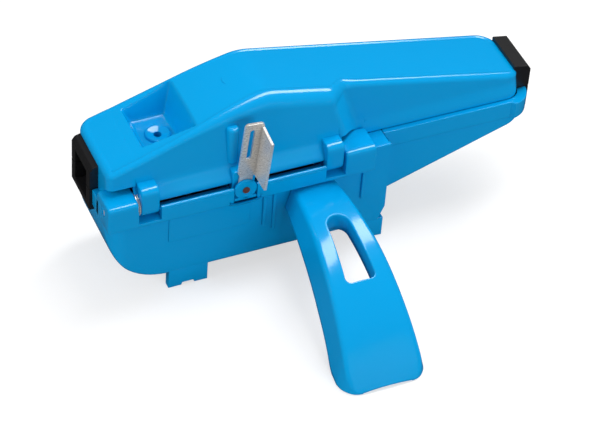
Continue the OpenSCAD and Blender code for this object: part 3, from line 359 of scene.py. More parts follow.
def lathe(name, body, profile, centre, axis="z", material=BLUE):
    """A profile of (distance from the axis, place along it) turned about an axis through centre."""
    r, h = np.hsplit(np.asarray(profile, float), 2)
    t = np.linspace(0, 2 * math.pi, 48, endpoint=False)
    u, v, w = r * np.cos(t), r * np.sin(t), h + 0 * t
    rings = np.stack((v, w, u) if axis == "y" else (u, v, w), -1) + np.asarray(centre, float)
    faces = grid_faces(len(profile), len(t), closed=True)
    return merged(name, [(place(rings), faces)], material, body, 40.0)


def box_outline(a, b, r, n=4):
    """A rectangle between two corners with rounded corners of radius r."""
    (x0, y0), (x1, y1) = a, b
    parts = []
    for k, (cx, cy) in enumerate(((x1 - r, y1 - r), (x0 + r, y1 - r), (x0 + r, y0 + r), (x1 - r, y0 + r))):
        t = np.linspace(0, math.pi / 2, n) + k * math.pi / 2
        parts.append(np.stack([cx + r * np.cos(t), cy + r * np.sin(t)], -1))
    return np.concatenate(parts)


# The lid

LID_LEFT, LID_RIGHT, LID_LOW = -111.0, 121.5, 63.9
LIP_Z, FLARE_Z = 64.5, 74.0
WIDE_BASE, SLIM_BASE, FAR_BASE = 32.2, 19.8, 19.2
WIDE_FLARE, SLIM_FLARE = 5.0, 2.2
LEAN_WIDE, LEAN_SLIM, LEAN_FAR = 0.132, 0.085, 0.02
STEP_X, STEP_LEAN, STEP_FILLET = 16.0, 0.46, 1.6
# Radii of the upright corners, from the near left one round to the far left one
LID_CORNERS = (3.6, 8.0, 11.0, 7.0)
# Radii of the top's edges at the left end, the right end and the far side
LEFT_R, RIGHT_R, FAR_R = 3.5, 3.2, 2.4
# Radius of the near top edge at the left, what it gains by the middle and loses by the right
NEAR_R, NEAR_GAIN, NEAR_LOSS = 3.0, 5.0, 4.6
GAIN_RUN, LOSS_RUN = (-75, -25), (6, 28)
# Corners of the top's outline, the place where its first run ends, and its fillets
CROWN = ((-107.0, 82.0), (-89.5, 87.5), (-44.0, 102.8), (-26.0, 106.5), (115.0, 77.8))
CROWN_TURN, SHOULDER_FILLET, RIDGE_FILLET = -95.0, 2.0, 2.2
CROWN_BOW = 0.0012
SPINE_Y, SPINE_LEFT, SPINE_RIGHT = -1.5, LID_LEFT + 20.0, LID_RIGHT - 16.0
LID_WALL = 2.2
HINGE_Y, HINGE_Z = -28.8, 62.3
RECESS_R = 10.6
RECESSES = ((-130.0, -96.3), (13.3, 31.3))
POCKET = (-86.0, -67.0, -14.0, 11.0)
POCKET_Z, POCKET_FILLET, POCKET_EDGE = 80.0, 2.6, 1.3
POCKET_RISE = (2.2, 3.3, 3.0, 3.0)
FILL_X, FILL_Y, FILL_R = -75.7, -2.5, 4.6
# Half width of the chain's windows, and the top of the lid's
WINDOW_HALF, WINDOW_TOP = 12.4, 77.0


def lid_crown(x):
    """Height of the lid's top along X: straight runs between the measured corners, each corner
    smoothed with its own fillet."""
    rise, climb, shoulder, fall = (straight(x, a, b) for a, b in zip(CROWN[:-1], CROWN[1:]))
    z = np.where(x < CROWN_TURN, rise, smooth_min(climb, shoulder, SHOULDER_FILLET))
    return smooth_min(z, fall, RIDGE_FILLET)


def pocket_floor(x, y):
    """Height of the pocket: the level floor or the highest of its four leaning walls."""
    z = POCKET_Z + 0 * x
    for d, k in zip((POCKET[0] - x, x - POCKET[1], POCKET[2] - y, y - POCKET[3]), POCKET_RISE):
        z = smooth_max(z, POCKET_Z + d * k, POCKET_FILLET)
    return z


def lid_top(x, y):
    """The top with a slight crown across and the pocket sunk into it."""
    z = lid_crown(x) - CROWN_BOW * (y - SPINE_Y) ** 2
    return smooth_min(z, pocket_floor(x, y), POCKET_EDGE)


def near_wall(x, z):
    """Distance of the near wall from the chain plane: lip, flare and lean of the wide part, cut by
    the leaning diagonal face, or the narrow part where that is further out."""
    lip, above = ramp(z, LIP_Z, FLARE_Z), np.maximum(z - FLARE_Z, 0)
    wide = WIDE_BASE - WIDE_FLARE * lip - LEAN_WIDE * above
    slim = SLIM_BASE - SLIM_FLARE * lip - LEAN_SLIM * above
    face = WIDE_BASE - (x - STEP_X + STEP_LEAN * (z - LID_LOW))
    return smooth_max(slim, smooth_min(wide, face, STEP_FILLET), STEP_FILLET)


def near_round(x):
    """Radius of the near top edge along X."""
    return NEAR_R + NEAR_GAIN * ramp(x, *GAIN_RUN) - NEAR_LOSS * ramp(x, *LOSS_RUN)


def lid_plan(side, u, z, e, corner, ang):
    """Places of the outline's columns at the heights z, drawn in by e: straight runs at the walls
    and a quarter circle of radius corner - e at each upright corner. The sides are 0 near, 1 right,
    2 far and 3 left, and the corners 4 near left, 5 near right, 6 far right and 7 far left."""
    near, left = np.isin(side, (0, 4, 5)), np.isin(side, (3, 4, 7))
    k_nl, k_nr, k_fr, k_fl = LID_CORNERS
    x = np.select([side == 0, side == 2, side == 3, side == 1, left],
                  [u, LID_RIGHT - k_fr - u * (LID_RIGHT - LID_LEFT - k_fr - k_fl), LID_LEFT, LID_RIGHT,
                   LID_LEFT + corner], LID_RIGHT - corner)
    yn, yf = -near_wall(x, z), FAR_BASE - LEAN_FAR * np.maximum(z - FLARE_Z, 0)
    run_r = yn + k_nr + u * (yf - k_fr - yn - k_nr)
    run_l = yf - k_fl - u * (yf - k_fl - yn - k_nl)
    px = np.select([side == 3, side == 1, side >= 4],
                   [LID_LEFT + e, LID_RIGHT - e, x + (corner - e) * np.cos(ang)], x)
    py = np.select([side == 0, side == 2, side == 1, side == 3, near],
                   [yn + e, yf - e, run_r, run_l, yn + corner + (corner - e) * np.sin(ang)],
                   yf - corner + (corner - e) * np.sin(ang))
    return x, px, py


def lid_ring(level, part, side, u):
    """One ring of the lid's outer skin. part 0 climbs the wall, 1 rounds the top edge and 2 crosses
    the top to the spine; level runs 0 to 1 within the part. Beside a hinge block the wall starts
    where it meets a cylinder about the hinge axis."""
    climbed, phi = (level, 0.0) if part == 0 else (1.0, math.pi / 2 * (level if part == 1 else 1.0))
    near, left, right = np.isin(side, (0, 4, 5)), np.isin(side, (3, 4, 7)), np.isin(side, (1, 5, 6))
    at_corner = side >= 4
    corner = np.where(at_corner, np.take(LID_CORNERS, side - 4, mode="wrap"), 0.0)
    ang = np.where(at_corner, (side - 6 + u) * math.pi / 2, 0.0)
    start = np.full(len(u), LID_LOW)
    for _ in range(6):
        x, px, py = lid_plan(side, u, start, 0.0, corner, ang)
        beside = np.any([(px > lo) & (px < hi) for lo, hi in RECESSES], axis=0)
        dy = np.clip(py - HINGE_Y, -RECESS_R, RECESS_R)
        cylinder = HINGE_Z + np.sqrt(RECESS_R ** 2 - dy ** 2)
        start = np.where(beside, np.maximum(LID_LOW, cylinder), LID_LOW)
    end_r = np.where(left, LEFT_R, RIGHT_R)
    side_r = np.where(near, near_round(x), FAR_R)
    share = np.abs(np.cos(ang))
    r = np.where(at_corner, end_r * share + side_r * (1 - share), np.where(left | right, end_r, side_r))
    crown_x = np.select([side == 3, side == 1, at_corner],
                        [LID_LEFT + r, LID_RIGHT - r, x + (corner - r) * np.cos(ang)], x)
    z = start + climbed * (lid_crown(crown_x) - r - start)
    x, px, py = lid_plan(side, u, z, r * (1 - math.cos(phi)), corner, ang)
    z = z + r * math.sin(phi)
    if part == 2:
        px += (np.clip(px, SPINE_LEFT, SPINE_RIGHT) - px) * level
        py += (SPINE_Y - py) * level
        z = lid_top(px, py)
    return np.stack([px, py, z], -1)


HAIR = 0.01
# Places along the near wall where its columns change their spacing, and the number of steps between
NEAR_STOPS = (LID_LEFT + LID_CORNERS[0], RECESSES[0][1] - HAIR, RECESSES[0][1] + HAIR, -90.5, -58.0,
              -45.0, -25.0, 8.0, RECESSES[1][0] - HAIR, RECESSES[1][0] + HAIR, RECESSES[1][1] - HAIR,
              RECESSES[1][1] + HAIR, 60.0, LID_RIGHT - LID_CORNERS[1])
NEAR_STEPS = (10, 1, 6, 44, 10, 16, 18, 6, 1, 26, 1, 16, 24)
# Shares of the wall's height where its rings change their spacing
CLIMB_SHARES = (0, 0.06, 0.30, 1)


def lid_skin():
    """Outer skin of the lid as rings of one closed loop, and its faces. The far side's columns stand
    opposite the near side's."""
    near = dense(NEAR_STOPS, NEAR_STEPS)
    run = LID_RIGHT - LID_LEFT - LID_CORNERS[2] - LID_CORNERS[3]
    far = (LID_RIGHT - LID_CORNERS[2] - near[::-1]) / run
    far = np.concatenate([[0.0], far[(far > 0.002) & (far < 0.998)], [1.0]])
    plain, end = np.linspace(0, 1, 13), np.linspace(0, 1, 34)
    loops = [(4, plain[:-1]), (0, near), (5, plain[1:-1]), (1, end), (6, plain[1:-1]), (2, far),
             (7, plain[1:-1]), (3, end[:-1])]
    side = np.concatenate([np.full(len(u), k) for k, u in loops])
    u = np.concatenate([u for _, u in loops])
    levels = [(t, 0) for t in dense(CLIMB_SHARES, (4, 12, 10))]
    levels += [(t, 1) for t in np.linspace(0, 1, 11)[1:]]
    levels += [(t, 2) for t in np.linspace(0, 1, 34)[1:]]
    rings = np.stack([lid_ring(t, part, side, u) for t, part in levels])
    return rings.reshape(-1, 3), grid_faces(len(levels), len(u), closed=True)


def make_lid():
    """The lid's moulded shell, open below, with the fill hole left free under its ring."""
    pts, faces = lid_skin()
    x, y, z = pts[faces].mean(1).T
    at_end = (x < LID_LEFT + 1) | (x > LID_RIGHT - 1)
    keep = np.hypot(x - FILL_X, y - FILL_Y) > FILL_R
    keep &= ~(at_end & (np.abs(y) < WINDOW_HALF) & (z < WINDOW_TOP))
    o = merged("lid_shell", [(place(pts), faces[keep])], BLUE, "lid_body", 50.0)
    return wall(joined(o, 0.02 * MM), LID_WALL * MM)


KNUCKLE_R, PIN_BORE = 6.5, 2.56
KNUCKLES = ((-96.0, -86.5), (3.6, 13.1))
# The knuckle's arm as half planes about the hinge axis: front, top, back, bevel and underside
KNUCKLE_ARM = ((-1, 0, 6.5), (0, 1, 12.2), (1, 0, 3.8), (-0.7, 0.7, 11.6), (0, -1, 0.2))
STOP_X, STOP_Y, STOP_R, STOP_BACK, STOP_SPAN = -45.0, -25.4, 3.3, -22.5, (72.5, 95.0)
# Profile of the raised ring round the fill hole, from the pocket's floor
FILL_RING = ((2.0, -7.0), (2.0, 0.0), (2.3, 0.2), (5.2, 1.0), (5.6, 1.2), (6.1, 1.15), (6.5, 0.8),
             (6.7, 0.2), (6.8, -0.3), (6.0, -2.2), (3.2, -2.3), (3.2, -7.0), (2.0, -7.0))
UPPER_POSTS = (-36.0, -16.0)
UPPER_POST = ((1.5, 103.0), (1.5, 100.05), (4.7, 100.05), (5.0, 100.35), (5.0, 103.4), (1.5, 103.4))
UPPER_RIBS, UPPER_RIB_HALF, UPPER_RIB_LOW, UPPER_RIB_T = (83.0, 96.0, 106.0), 15.8, 74.6, 2.2
UPPER_RIB_SINK, UPPER_RIB_CORNER = 1.4, 0.6
CATCH_LOW, CATCH_HIGH, CATCH_SPAN, CATCH_CORNER = (16.6, 66.0), (23.1, 71.0), (-34.6, -17.4), 0.9
# Widths of the rounded edges of the knuckles, the stop and the catch
KNUCKLE_EDGE, STOP_EDGE, CATCH_EDGE = 0.7, 1.6, 0.5


def make_lid_fittings():
    """Knuckles, stop, fill ring, inner posts and ribs, and the catch."""
    made = []
    knuckle = about_hinge(np.maximum(KNUCKLE_R, soft_polar(KNUCKLE_ARM)))
    for i, span in enumerate(KNUCKLES):
        made.append(swept(f"lid_knuckle_{i + 1}", "lid_body", knuckle, span, "x", KNUCKLE_EDGE,
                          (HINGE_Y, HINGE_Z, PIN_BORE)))
    t = np.linspace(0, math.pi, 24)
    front = np.stack([STOP_X + STOP_R * np.cos(t), STOP_Y - STOP_R * np.sin(t)], -1)
    stop = np.concatenate([front, [[STOP_X - STOP_R, STOP_BACK], [STOP_X + STOP_R, STOP_BACK]]])
    made.append(swept("lid_stop", "lid_body", stop, STOP_SPAN, "z", STOP_EDGE))
    made.append(lathe("fill_ring", "lid_body", FILL_RING, (FILL_X, FILL_Y, POCKET_Z)))
    for i, x in enumerate(UPPER_POSTS):
        made.append(lathe(f"upper_post_{i + 1}", "lid_body", UPPER_POST, (x, 0, 0)))
    for i, x in enumerate(UPPER_RIBS):
        top = lid_crown(np.array([x]))[0] - UPPER_RIB_SINK
        rib = box_outline((-UPPER_RIB_HALF, UPPER_RIB_LOW), (UPPER_RIB_HALF, top), UPPER_RIB_CORNER)
        made.append(swept(f"upper_rib_{i + 1}", "lid_body", rib, (x, x + UPPER_RIB_T), "x"))
    catch = box_outline(CATCH_LOW, CATCH_HIGH, CATCH_CORNER)
    made.append(swept("catch", "lid_body", catch, CATCH_SPAN, "x", CATCH_EDGE))
    return made


ARM_X, ARM_Z, ARM_BORE = -41.0, 61.5, 1.66
LUG_FRONT, LUG_EAR, LUG_BACK = -36.8, 1.7, -31.0
LUG_LOW, LUG_TOP, LUG_HALF = 55.0, 71.5, 6.0
LUG_BRIDGE, LUG_PLATE, LUG_PLATE_RISE = 1.8, (-2.4, 2.6), 1.0
LUG_EDGE, PLATE_CORNER, BRIDGE_CORNER = 0.5, 1.0, 0.8


def make_lug():
    """The clevis of the holder arm: a round front ear, a back plate and the bridge below."""
    left, right, bore = ARM_X - LUG_HALF, ARM_X + LUG_HALF, (ARM_X, ARM_Z, ARM_BORE)
    ear = circle(ARM_X, ARM_Z, LUG_HALF, 64)
    plate = box_outline((left, LUG_LOW + LUG_PLATE_RISE), (right, LUG_TOP), PLATE_CORNER, 17)
    plate_span = LUG_BACK + LUG_PLATE[0], LUG_BACK + LUG_PLATE[1]
    bridge = box_outline((left, LUG_LOW), (right, LUG_LOW + LUG_BRIDGE), BRIDGE_CORNER)
    return [swept("lug_ear", "lid_body", ear, (LUG_FRONT, LUG_FRONT + LUG_EAR), "y", LUG_EDGE, bore),
            swept("lug_back", "lid_body", plate, plate_span, "y", bore=bore),
            swept("lug_bridge", "lid_body", bridge, (LUG_FRONT, LUG_BACK), "y")]


# The handle

WALL_NEAR = 31.5
HANDLE_L, HANDLE_X, HANDLE_Z = 102.5, -1.8, 51.0
HANDLE_W = (12.0, 21.5)
HANDLE_FLARE, FLARE_DEPTH = 3.0, 12
HANDLE_EDGE, EDGE_TURN, HANDLE_BOW = 3.2, math.radians(80), 0.9
HANDLE_CORNER = 8.0
HANDLE_T = 2.4
RIM_LOWEST = 0.6
# Heights of the top and of the side walls' rims along the handle
TOP_SHARES = ((0, 1), (.1, 1.008), (.2, 1.008), (.3, .99), (.4, .95), (.5, .882), (.58, .808), (.66, .713),
              (.74, .598), (.82, .463), (.89, .318), (.95, .17), (1, .02))
RIM_SHARES = ((0, .735), (.1, .725), (.2, .69), (.3, .63), (.4, .56), (.5, .47), (.58, .38), (.66, .285),
              (.74, .16), (.8, .04), (.85, .0), (.95, 0), (1, 0))
SLOT_FROM, SLOT_TO = 27.0, 64.0
SLOT_W, SLOT_R = (13.0, 17.0), 3.2
# Share of the slot's tip end that is straight
SLOT_FLAT_SHARE = 0.45
# The patch of the skin round the slot, and the line that the slot's edge turns towards
PATCH_SHARES, SLOT_CORE = (0.2, 0.68), (33, 58)
COLLAR_R, COLLAR_IN, COLLAR_DEPTHS = 1.2, 0.72, (3.0, 6.0, 9.0)


def handle_half(s):
    """Half width of the handle along it."""
    return HANDLE_W[0] + (HANDLE_W[1] - HANDLE_W[0]) * s


def handle_skin(s, q):
    """Point of the handle's outer skin. s runs from root to tip as a share of its length; q is -1 to
    1 across the top, to 2 round the edge and to 3 down the side wall."""
    s, q = np.broadcast_arrays(np.asarray(s, float), np.asarray(q, float))
    top = HANDLE_Z * hermite(s, *zip(*TOP_SHARES))
    rim = np.maximum(HANDLE_Z * hermite(s, *zip(*RIM_SHARES)), RIM_LOWEST)
    into = np.clip(HANDLE_CORNER - (1 - s) * HANDLE_L, 0, None)
    tuck = HANDLE_CORNER - np.sqrt(np.clip(HANDLE_CORNER ** 2 - into ** 2, 0, None))
    half = handle_half(s) - tuck
    edge = np.minimum(HANDLE_EDGE, np.maximum(top - rim, 0.4) * 0.5)
    on_top, a, b = (np.clip(np.abs(q) - k, 0, 1) for k in range(3))
    a = a * EDGE_TURN
    across = np.where(np.abs(q) <= 1, np.abs(q) * (half - edge), half - edge + edge * np.sin(a))
    z = top + HANDLE_BOW * (1 - on_top ** 2) - edge * (1 - np.cos(a))
    deep = np.maximum(z - rim, 0)
    across = across + b * HANDLE_FLARE * np.clip(deep / FLARE_DEPTH, 0, 1)
    return np.stack([HANDLE_X + np.sign(q) * across, -WALL_NEAR - s * HANDLE_L, z - b * deep], -1)


def slot_loop(n_side, n_end):
    """The hang slot seen from above, as places along and across, in the order of its patch's outer
    loop: near-root end, right side, tip end, left side."""
    root_r, tip_half = SLOT_W[0] / 2, SLOT_W[1] / 2
    mid, last = SLOT_FROM + root_r, SLOT_TO - SLOT_R
    k = np.linspace(-1, 1, n_end)
    root = np.stack([mid - root_r * np.cos(k * math.pi / 2), root_r * np.sin(k * math.pi / 2)], -1)
    run = np.linspace(0, 1, n_side)[1:-1]
    side = np.stack([mid + run * (last - mid), root_r + (tip_half - root_r) * run], -1)
    a = np.clip(np.abs(k) - SLOT_FLAT_SHARE, 0, 1) / (1 - SLOT_FLAT_SHARE) * math.pi / 2
    flat = k / SLOT_FLAT_SHARE * (tip_half - SLOT_R)
    bend = np.sign(k) * (tip_half - SLOT_R + SLOT_R * np.sin(a))
    tip = np.stack([last + SLOT_R * np.cos(a), np.where(np.abs(k) < SLOT_FLAT_SHARE, flat, bend)], -1)
    return np.concatenate([root, side, tip[::-1], (side * [1, -1])[::-1]])


def make_handle():
    """The handle's channel: one skin with the hang slot's collar, given its thickness inwards."""
    n_end, n_side = 23, 40
    s1, s2 = PATCH_SHARES
    q, rows = np.linspace(-1, 1, n_end), np.linspace(s1, s2, n_side)
    head, tail = np.linspace(0, s1, 20), dense((s2, .9, 1), (26, 24))
    everywhere, down = np.concatenate([head[:-1], rows, tail[1:]]), dense((1, 2, 3), (8, 10))
    patches = []
    for ss, qq in ((head, q), (tail, q), (everywhere, down), (everywhere[::-1], -down)):
        patches.append((handle_skin(ss[:, None], qq[None, :]), grid_faces(len(ss), len(qq))))
    middle, ones = rows[1:-1], np.ones(n_side - 2)
    outer_s = np.concatenate([np.full(n_end, s1), middle, np.full(n_end, s2), middle[::-1]])
    outer_q = np.concatenate([q, ones, q[::-1], -ones])
    along, across = slot_loop(n_side, n_end).T
    s_in = along / HANDLE_L
    q_in = across / (handle_half(s_in) - HANDLE_EDGE)
    rings = [handle_skin(outer_s + (s_in - outer_s) * t, outer_q + (q_in - outer_q) * t)
             for t in np.linspace(0, 1, 12)]
    lip = rings[-1]
    core = np.stack([np.full_like(s_in, HANDLE_X), -WALL_NEAR - np.clip(along, *SLOT_CORE), lip[:, 2]], -1)
    inward = (core - lip) / np.linalg.norm(core - lip, axis=1, keepdims=True)
    for a in np.linspace(0, math.pi / 2, 6)[1:]:
        rings.append(lip + inward * COLLAR_IN * math.sin(a) - [0, 0, COLLAR_R * (1 - math.cos(a))])
    for d in COLLAR_DEPTHS:
        rings.append(lip + inward * COLLAR_IN - [0, 0, COLLAR_R + d])
    rings = np.stack(rings)
    patches.append((rings, grid_faces(len(rings), rings.shape[1], closed=True)))
    patches = [(place(points), faces[:, ::-1]) for points, faces in patches]
    o = merged("handle_shell", patches, BLUE, "tank_body", 60.0)
    return wall(o, HANDLE_T * MM)


# The tank

TANK_LEFT, TANK_RIGHT = -111.0, 124.5
TANK_NEAR, TANK_SLIM, TANK_FAR = 31.5, 21.6, 20.5
TANK_CORNER, TANK_WALL = 10.0, 2.2
TANK_STEP, LEDGE_END = 41.3, 30.7
STEP_RUN = (TANK_STEP - 0.3, TANK_STEP + 0.1)
RIM_TOP, RIM_LOW = 63.5, 53.0
RIM_OUT_NEAR, RIM_OUT_SLIM, RIM_OUT_FAR, RIM_OUT_END = 5.3, 1.0, 2.5, 3.0
RIM_EDGE, RIM_R, RIM_FOOT = 0.6, 1.1, 2.0
# Notches in the near rim from one place to another, as cylinders about the hinge axis
KNUCKLE_NOTCH, LUG_NOTCH = 7.1, 11.3
NOTCHES = ((-98.0, -85.9, KNUCKLE_NOTCH), (-47.3, -34.7, LUG_NOTCH), (3.0, 13.9, KNUCKLE_NOTCH))
NOTCH_SHELF, LUG_WALL_Z = 2.0, 50.9
GROOVE, GROOVE_OUT, GROOVE_Z = (NOTCHES[0][0], NOTCHES[-1][1]), 3.2, 59.7
BELLY_X, BELLY_R, FLOOR_Z = -79.0, 32.0, 10.0
SLOPE_LOW, SLOPE_HIGH = 20.5, 49.5
BOTTOM_R = 2.4
FLOOR_SPINE_Y, FLOOR_SPINE_LEFT, FLOOR_SPINE_RIGHT = -3.0, TANK_LEFT + 14, TANK_RIGHT - 12
WINDOW_LOW, END_DEPTH = 51.0, 4
COLUMN_GAP = 2.2


def tank_floor(x):
    """Height of the tank's underside: a quarter circle at the left, the level floor, the square step
    up and then the slope to the right end."""
    x = np.clip(x, TANK_LEFT + 2 * HAIR, TANK_RIGHT)
    into = np.clip(BELLY_X - x, 0, BELLY_R)
    belly = FLOOR_Z + BELLY_R - np.sqrt(np.clip(BELLY_R ** 2 - into ** 2, 0, None))
    slope = straight(x, (TANK_STEP, SLOPE_LOW), (TANK_RIGHT, SLOPE_HIGH))
    w = ramp(x, *STEP_RUN)
    return belly * (1 - w) + slope * w


def rounded_path(keys, radius):
    """A path of (offset, height) through keys, each inner corner replaced by a quadratic curve that
    starts at most radius before it and ends as far behind it."""
    out = [keys[0]]
    for a, b, c in zip(keys[:-2], keys[1:-1], keys[2:]):
        d0, d1 = np.linalg.norm(a - b), np.linalg.norm(c - b)
        p0 = b + (a - b) * min(radius, d0 * 0.45) / max(d0, 1e-6)
        p1 = b + (c - b) * min(radius, d1 * 0.45) / max(d1, 1e-6)
        for t in np.linspace(0, 1, 5):
            out.append(p0 * (1 - t) ** 2 + b * 2 * t * (1 - t) + p1 * t ** 2)
    return np.array(out + [keys[-1]])


def rim_path(side, x):
    """The rim's profile at one column, from its inner edge over the top, down its face and back
    under it to the wall. Offsets are outwards from the wall's face."""
    near_out = RIM_OUT_NEAR if x < LEDGE_END else (0.0 if x < TANK_STEP else RIM_OUT_SLIM)
    out = (near_out, RIM_OUT_END, RIM_OUT_FAR, RIM_OUT_END)[side]
    in_groove = side == 0 and GROOVE[0] < x < GROOVE[1]
    reach, level = (GROOVE_OUT, GROOVE_Z) if in_groove else (out - RIM_EDGE, RIM_TOP)
    arc = np.linspace((-TANK_WALL, level), (reach, level), 9)
    top, riser, wall_z = RIM_TOP, np.array([reach, RIM_TOP]), RIM_LOW
    for r in [r for a, b, r in NOTCHES if side == 0 and a < x < b]:
        centre = -HINGE_Y - TANK_NEAR
        last = -math.pi / 2
        if r == LUG_NOTCH:
            last = max(math.asin(NOTCH_SHELF / r), math.acos(min((out - centre) / r, 1.0))) - math.pi
            wall_z = LUG_WALL_Z
        t = np.linspace(math.asin((GROOVE_Z - HINGE_Z) / r), last, 9)
        arc = np.stack([centre - r * np.cos(t), HINGE_Z + r * np.sin(t)], -1)
        top = arc[-1, 1]
        riser = np.array([out - RIM_EDGE, top])
    keys = [arc[-1], riser, np.array([out, top]), np.array([out, RIM_LOW]), np.array([0.0, wall_z]),
            np.array([0.0, wall_z - RIM_FOOT])]
    return np.concatenate([arc[:-1], rounded_path(keys, RIM_R)])


def tank_columns():
    """Places round the tank's wall, each as side, x, y and the outward direction. Every step along
    the near wall gets a pair of columns."""
    k = TANK_CORNER
    left, right, near, slim, far = TANK_LEFT + k, TANK_RIGHT - k, k - TANK_NEAR, k - TANK_SLIM, TANK_FAR - k
    stops = [left] + [x for notch in NOTCHES for x in notch[:2]] + [LEDGE_END, TANK_STEP, right]
    cols = []
    for a, b in zip(stops[:-1], stops[1:]):
        y = -TANK_NEAR if a < TANK_STEP else -TANK_SLIM
        n = max(int((b - a) / COLUMN_GAP), 2)
        cols += [(0, x, y, 0, -1) for x in np.linspace(a + HAIR, b - HAIR, n)]

    def corner(cx, cy, first, side):
        for a in np.linspace(first, first + 90, 11)[1:-1]:
            c, w = math.cos(math.radians(a)), math.sin(math.radians(a))
            cols.append((side, cx + k * c, cy + k * w, c, w))

    far_stops = (right, TANK_STEP + 0.5, TANK_STEP - 1.7, BELLY_X, left)
    corner(right, slim, -90, 1)
    cols += [(1, TANK_RIGHT, y, 1, 0) for y in np.linspace(slim, far, 19)]
    corner(right, far, 0, 2)
    cols += [(2, x, TANK_FAR, 0, 1) for x in dense(far_stops, (30, 6, 40, 14))]
    corner(left, far, 90, 3)
    cols += [(3, TANK_LEFT, y, -1, 0) for y in np.linspace(far, near, 25)]
    corner(left, near, 180, 3)
    return cols


def make_tank():
    """The tank's moulded shell: rim profile, upright walls, rounded bottom edge and floor. The rim's
    near left corner blends from the end's profile to the near side's."""
    cols = tank_columns()
    base, out = np.array([c[1:3] for c in cols]), np.array([c[3:5] for c in cols], float)
    rims = np.array([rim_path(c[0], c[1]) for c in cols])
    blend = np.where((np.array([c[0] for c in cols]) == 3) & (out[:, 1] < 0), -out[:, 1], 0.0)[:, None, None]
    rims = rims * (1 - blend) + rim_path(0, TANK_LEFT) * blend
    wall_top = rims[:, -1, 1]
    rings = [np.concatenate([base + out * rim[:, :1], rim[:, 1:]], 1) for rim in rims.transpose(1, 0, 2)]
    edge_z = tank_floor(base[:, 0]) + BOTTOM_R
    for t in np.linspace(0, 1, 16)[1:]:
        rings.append(np.column_stack([base, wall_top + (edge_z - wall_top) * t]))
    for a in np.linspace(0, math.pi / 2, 6)[1:]:
        pos = base - out * BOTTOM_R * (1 - math.cos(a))
        rings.append(np.column_stack([pos, tank_floor(pos[:, 0]) + BOTTOM_R * (1 - math.sin(a))]))
    last = rings[-1][:, :2]
    spine = np.column_stack([np.clip(base[:, 0], FLOOR_SPINE_LEFT, FLOOR_SPINE_RIGHT),
                             np.full(len(base), FLOOR_SPINE_Y)])
    for t in np.linspace(0, 1, 14)[1:]:
        pos = last + (spine - last) * t
        rings.append(np.column_stack([pos, tank_floor(pos[:, 0])]))
    pts = np.concatenate(rings)
    faces = grid_faces(len(rings), len(cols), closed=True)[:, ::-1]
    x, y, z = pts[faces].mean(1).T
    at_end = (x < TANK_LEFT + END_DEPTH) | (x > TANK_RIGHT - END_DEPTH)
    keep = ~(at_end & (np.abs(y) < WINDOW_HALF) & (z > WINDOW_LOW))
    o = merged("tank_shell", [(place(pts), faces[keep])], BLUE, "tank_body", 38.0)
    return wall(o, TANK_WALL * MM)


BLOCKS, BLOCK_BORE, BLOCK_EDGE, RECESS_GAP = ((-114.0, -98.0), (13.9, 30.7)), 2.52, 1.0, 0.35
# The hinge block as half planes about the hinge axis: front, top, back, underside and bevel
BLOCK_PLANES = ((-1, 0, 8.1), (0, 1, 6.75), (1, 0, 10.4), (0, -1, 9.35), (-0.707, 0.707, 9.7))
# Plain bars: two corners of the outline, radius of its corners, span, axis and width of the edges
TANK_BARS = {"wall_rib_1": ((-29.0, -32.9), (-27.4, -31.2), 0.3, (29.0, 53.2), "z", 0.5),
             "wall_rib_2": ((-23.5, -32.9), (-21.9, -31.2), 0.3, (25.0, 53.2), "z", 0.5),
             "wall_rib_3": ((26.0, -32.9), (27.6, -31.2), 0.3, (31.0, 53.2), "z", 0.5),
             "deck": ((28.5, -30.9), (40.9, -19.4), 0.5, (61.1, 63.52), "z", 0.3),
             "wall_panel": ((-80.0, 33.0), (-36.0, 53.1), 0.8, (-32.1, -31.3), "y", 0.3)}
# Place, width and notch of the feet at either end
FEET, FOOT_Y, FOOT_T = ((-79.0, 21.5, 1.6), (29.5, 11.6, 0.0)), (-31.5, 16.0), 4.5
FOOT_TOP, FOOT_EDGE = 12.0, 0.5
NOTCH_LEAN_SHARE = 0.3
LOWER_POSTS = (-41.5, -8.5)
LOWER_POST = ((1.4, 14.0), (4.7, 11.0), (5.0, 11.3), (5.0, 19.7), (4.7, 20.0), (1.4, 20.0), (1.4, 14.0))
# Place and top of each rib across the inside, then their ends, thickness and lift off the underside
CROSS_RIBS = ((52.4, 53.5), (71.2, 53.5), (83.0, 49.0), (96.0, 49.0), (106.0, 49.0))
CROSS_RIB_Y, CROSS_RIB_T, CROSS_RIB_LIFT, CROSS_RIB_CORNER = (-19.8, 18.6), 2.3, 1.6, 0.4
LATCH_EARS, LATCH_EAR_T = (-42.0, -12.7), 2.7
LATCH_EAR = ((20.4, 50.0), (26.4, 54.5), (29.4, 56.0), (29.4, 59.0), (26.4, 60.5), (20.4, 63.4))


def foot_outline(x, width, notch):
    """Side of a foot, with a shallow notch across the middle third of its sole."""
    third, lean = width / 3, notch * NOTCH_LEAN_SHARE
    return [[x, FOOT_TOP], [x, 0.0], [x + third, 0.0], [x + third + lean, notch],
            [x + 2 * third - lean, notch], [x + 2 * third, 0.0], [x + width, 0.0], [x + width, FOOT_TOP]]


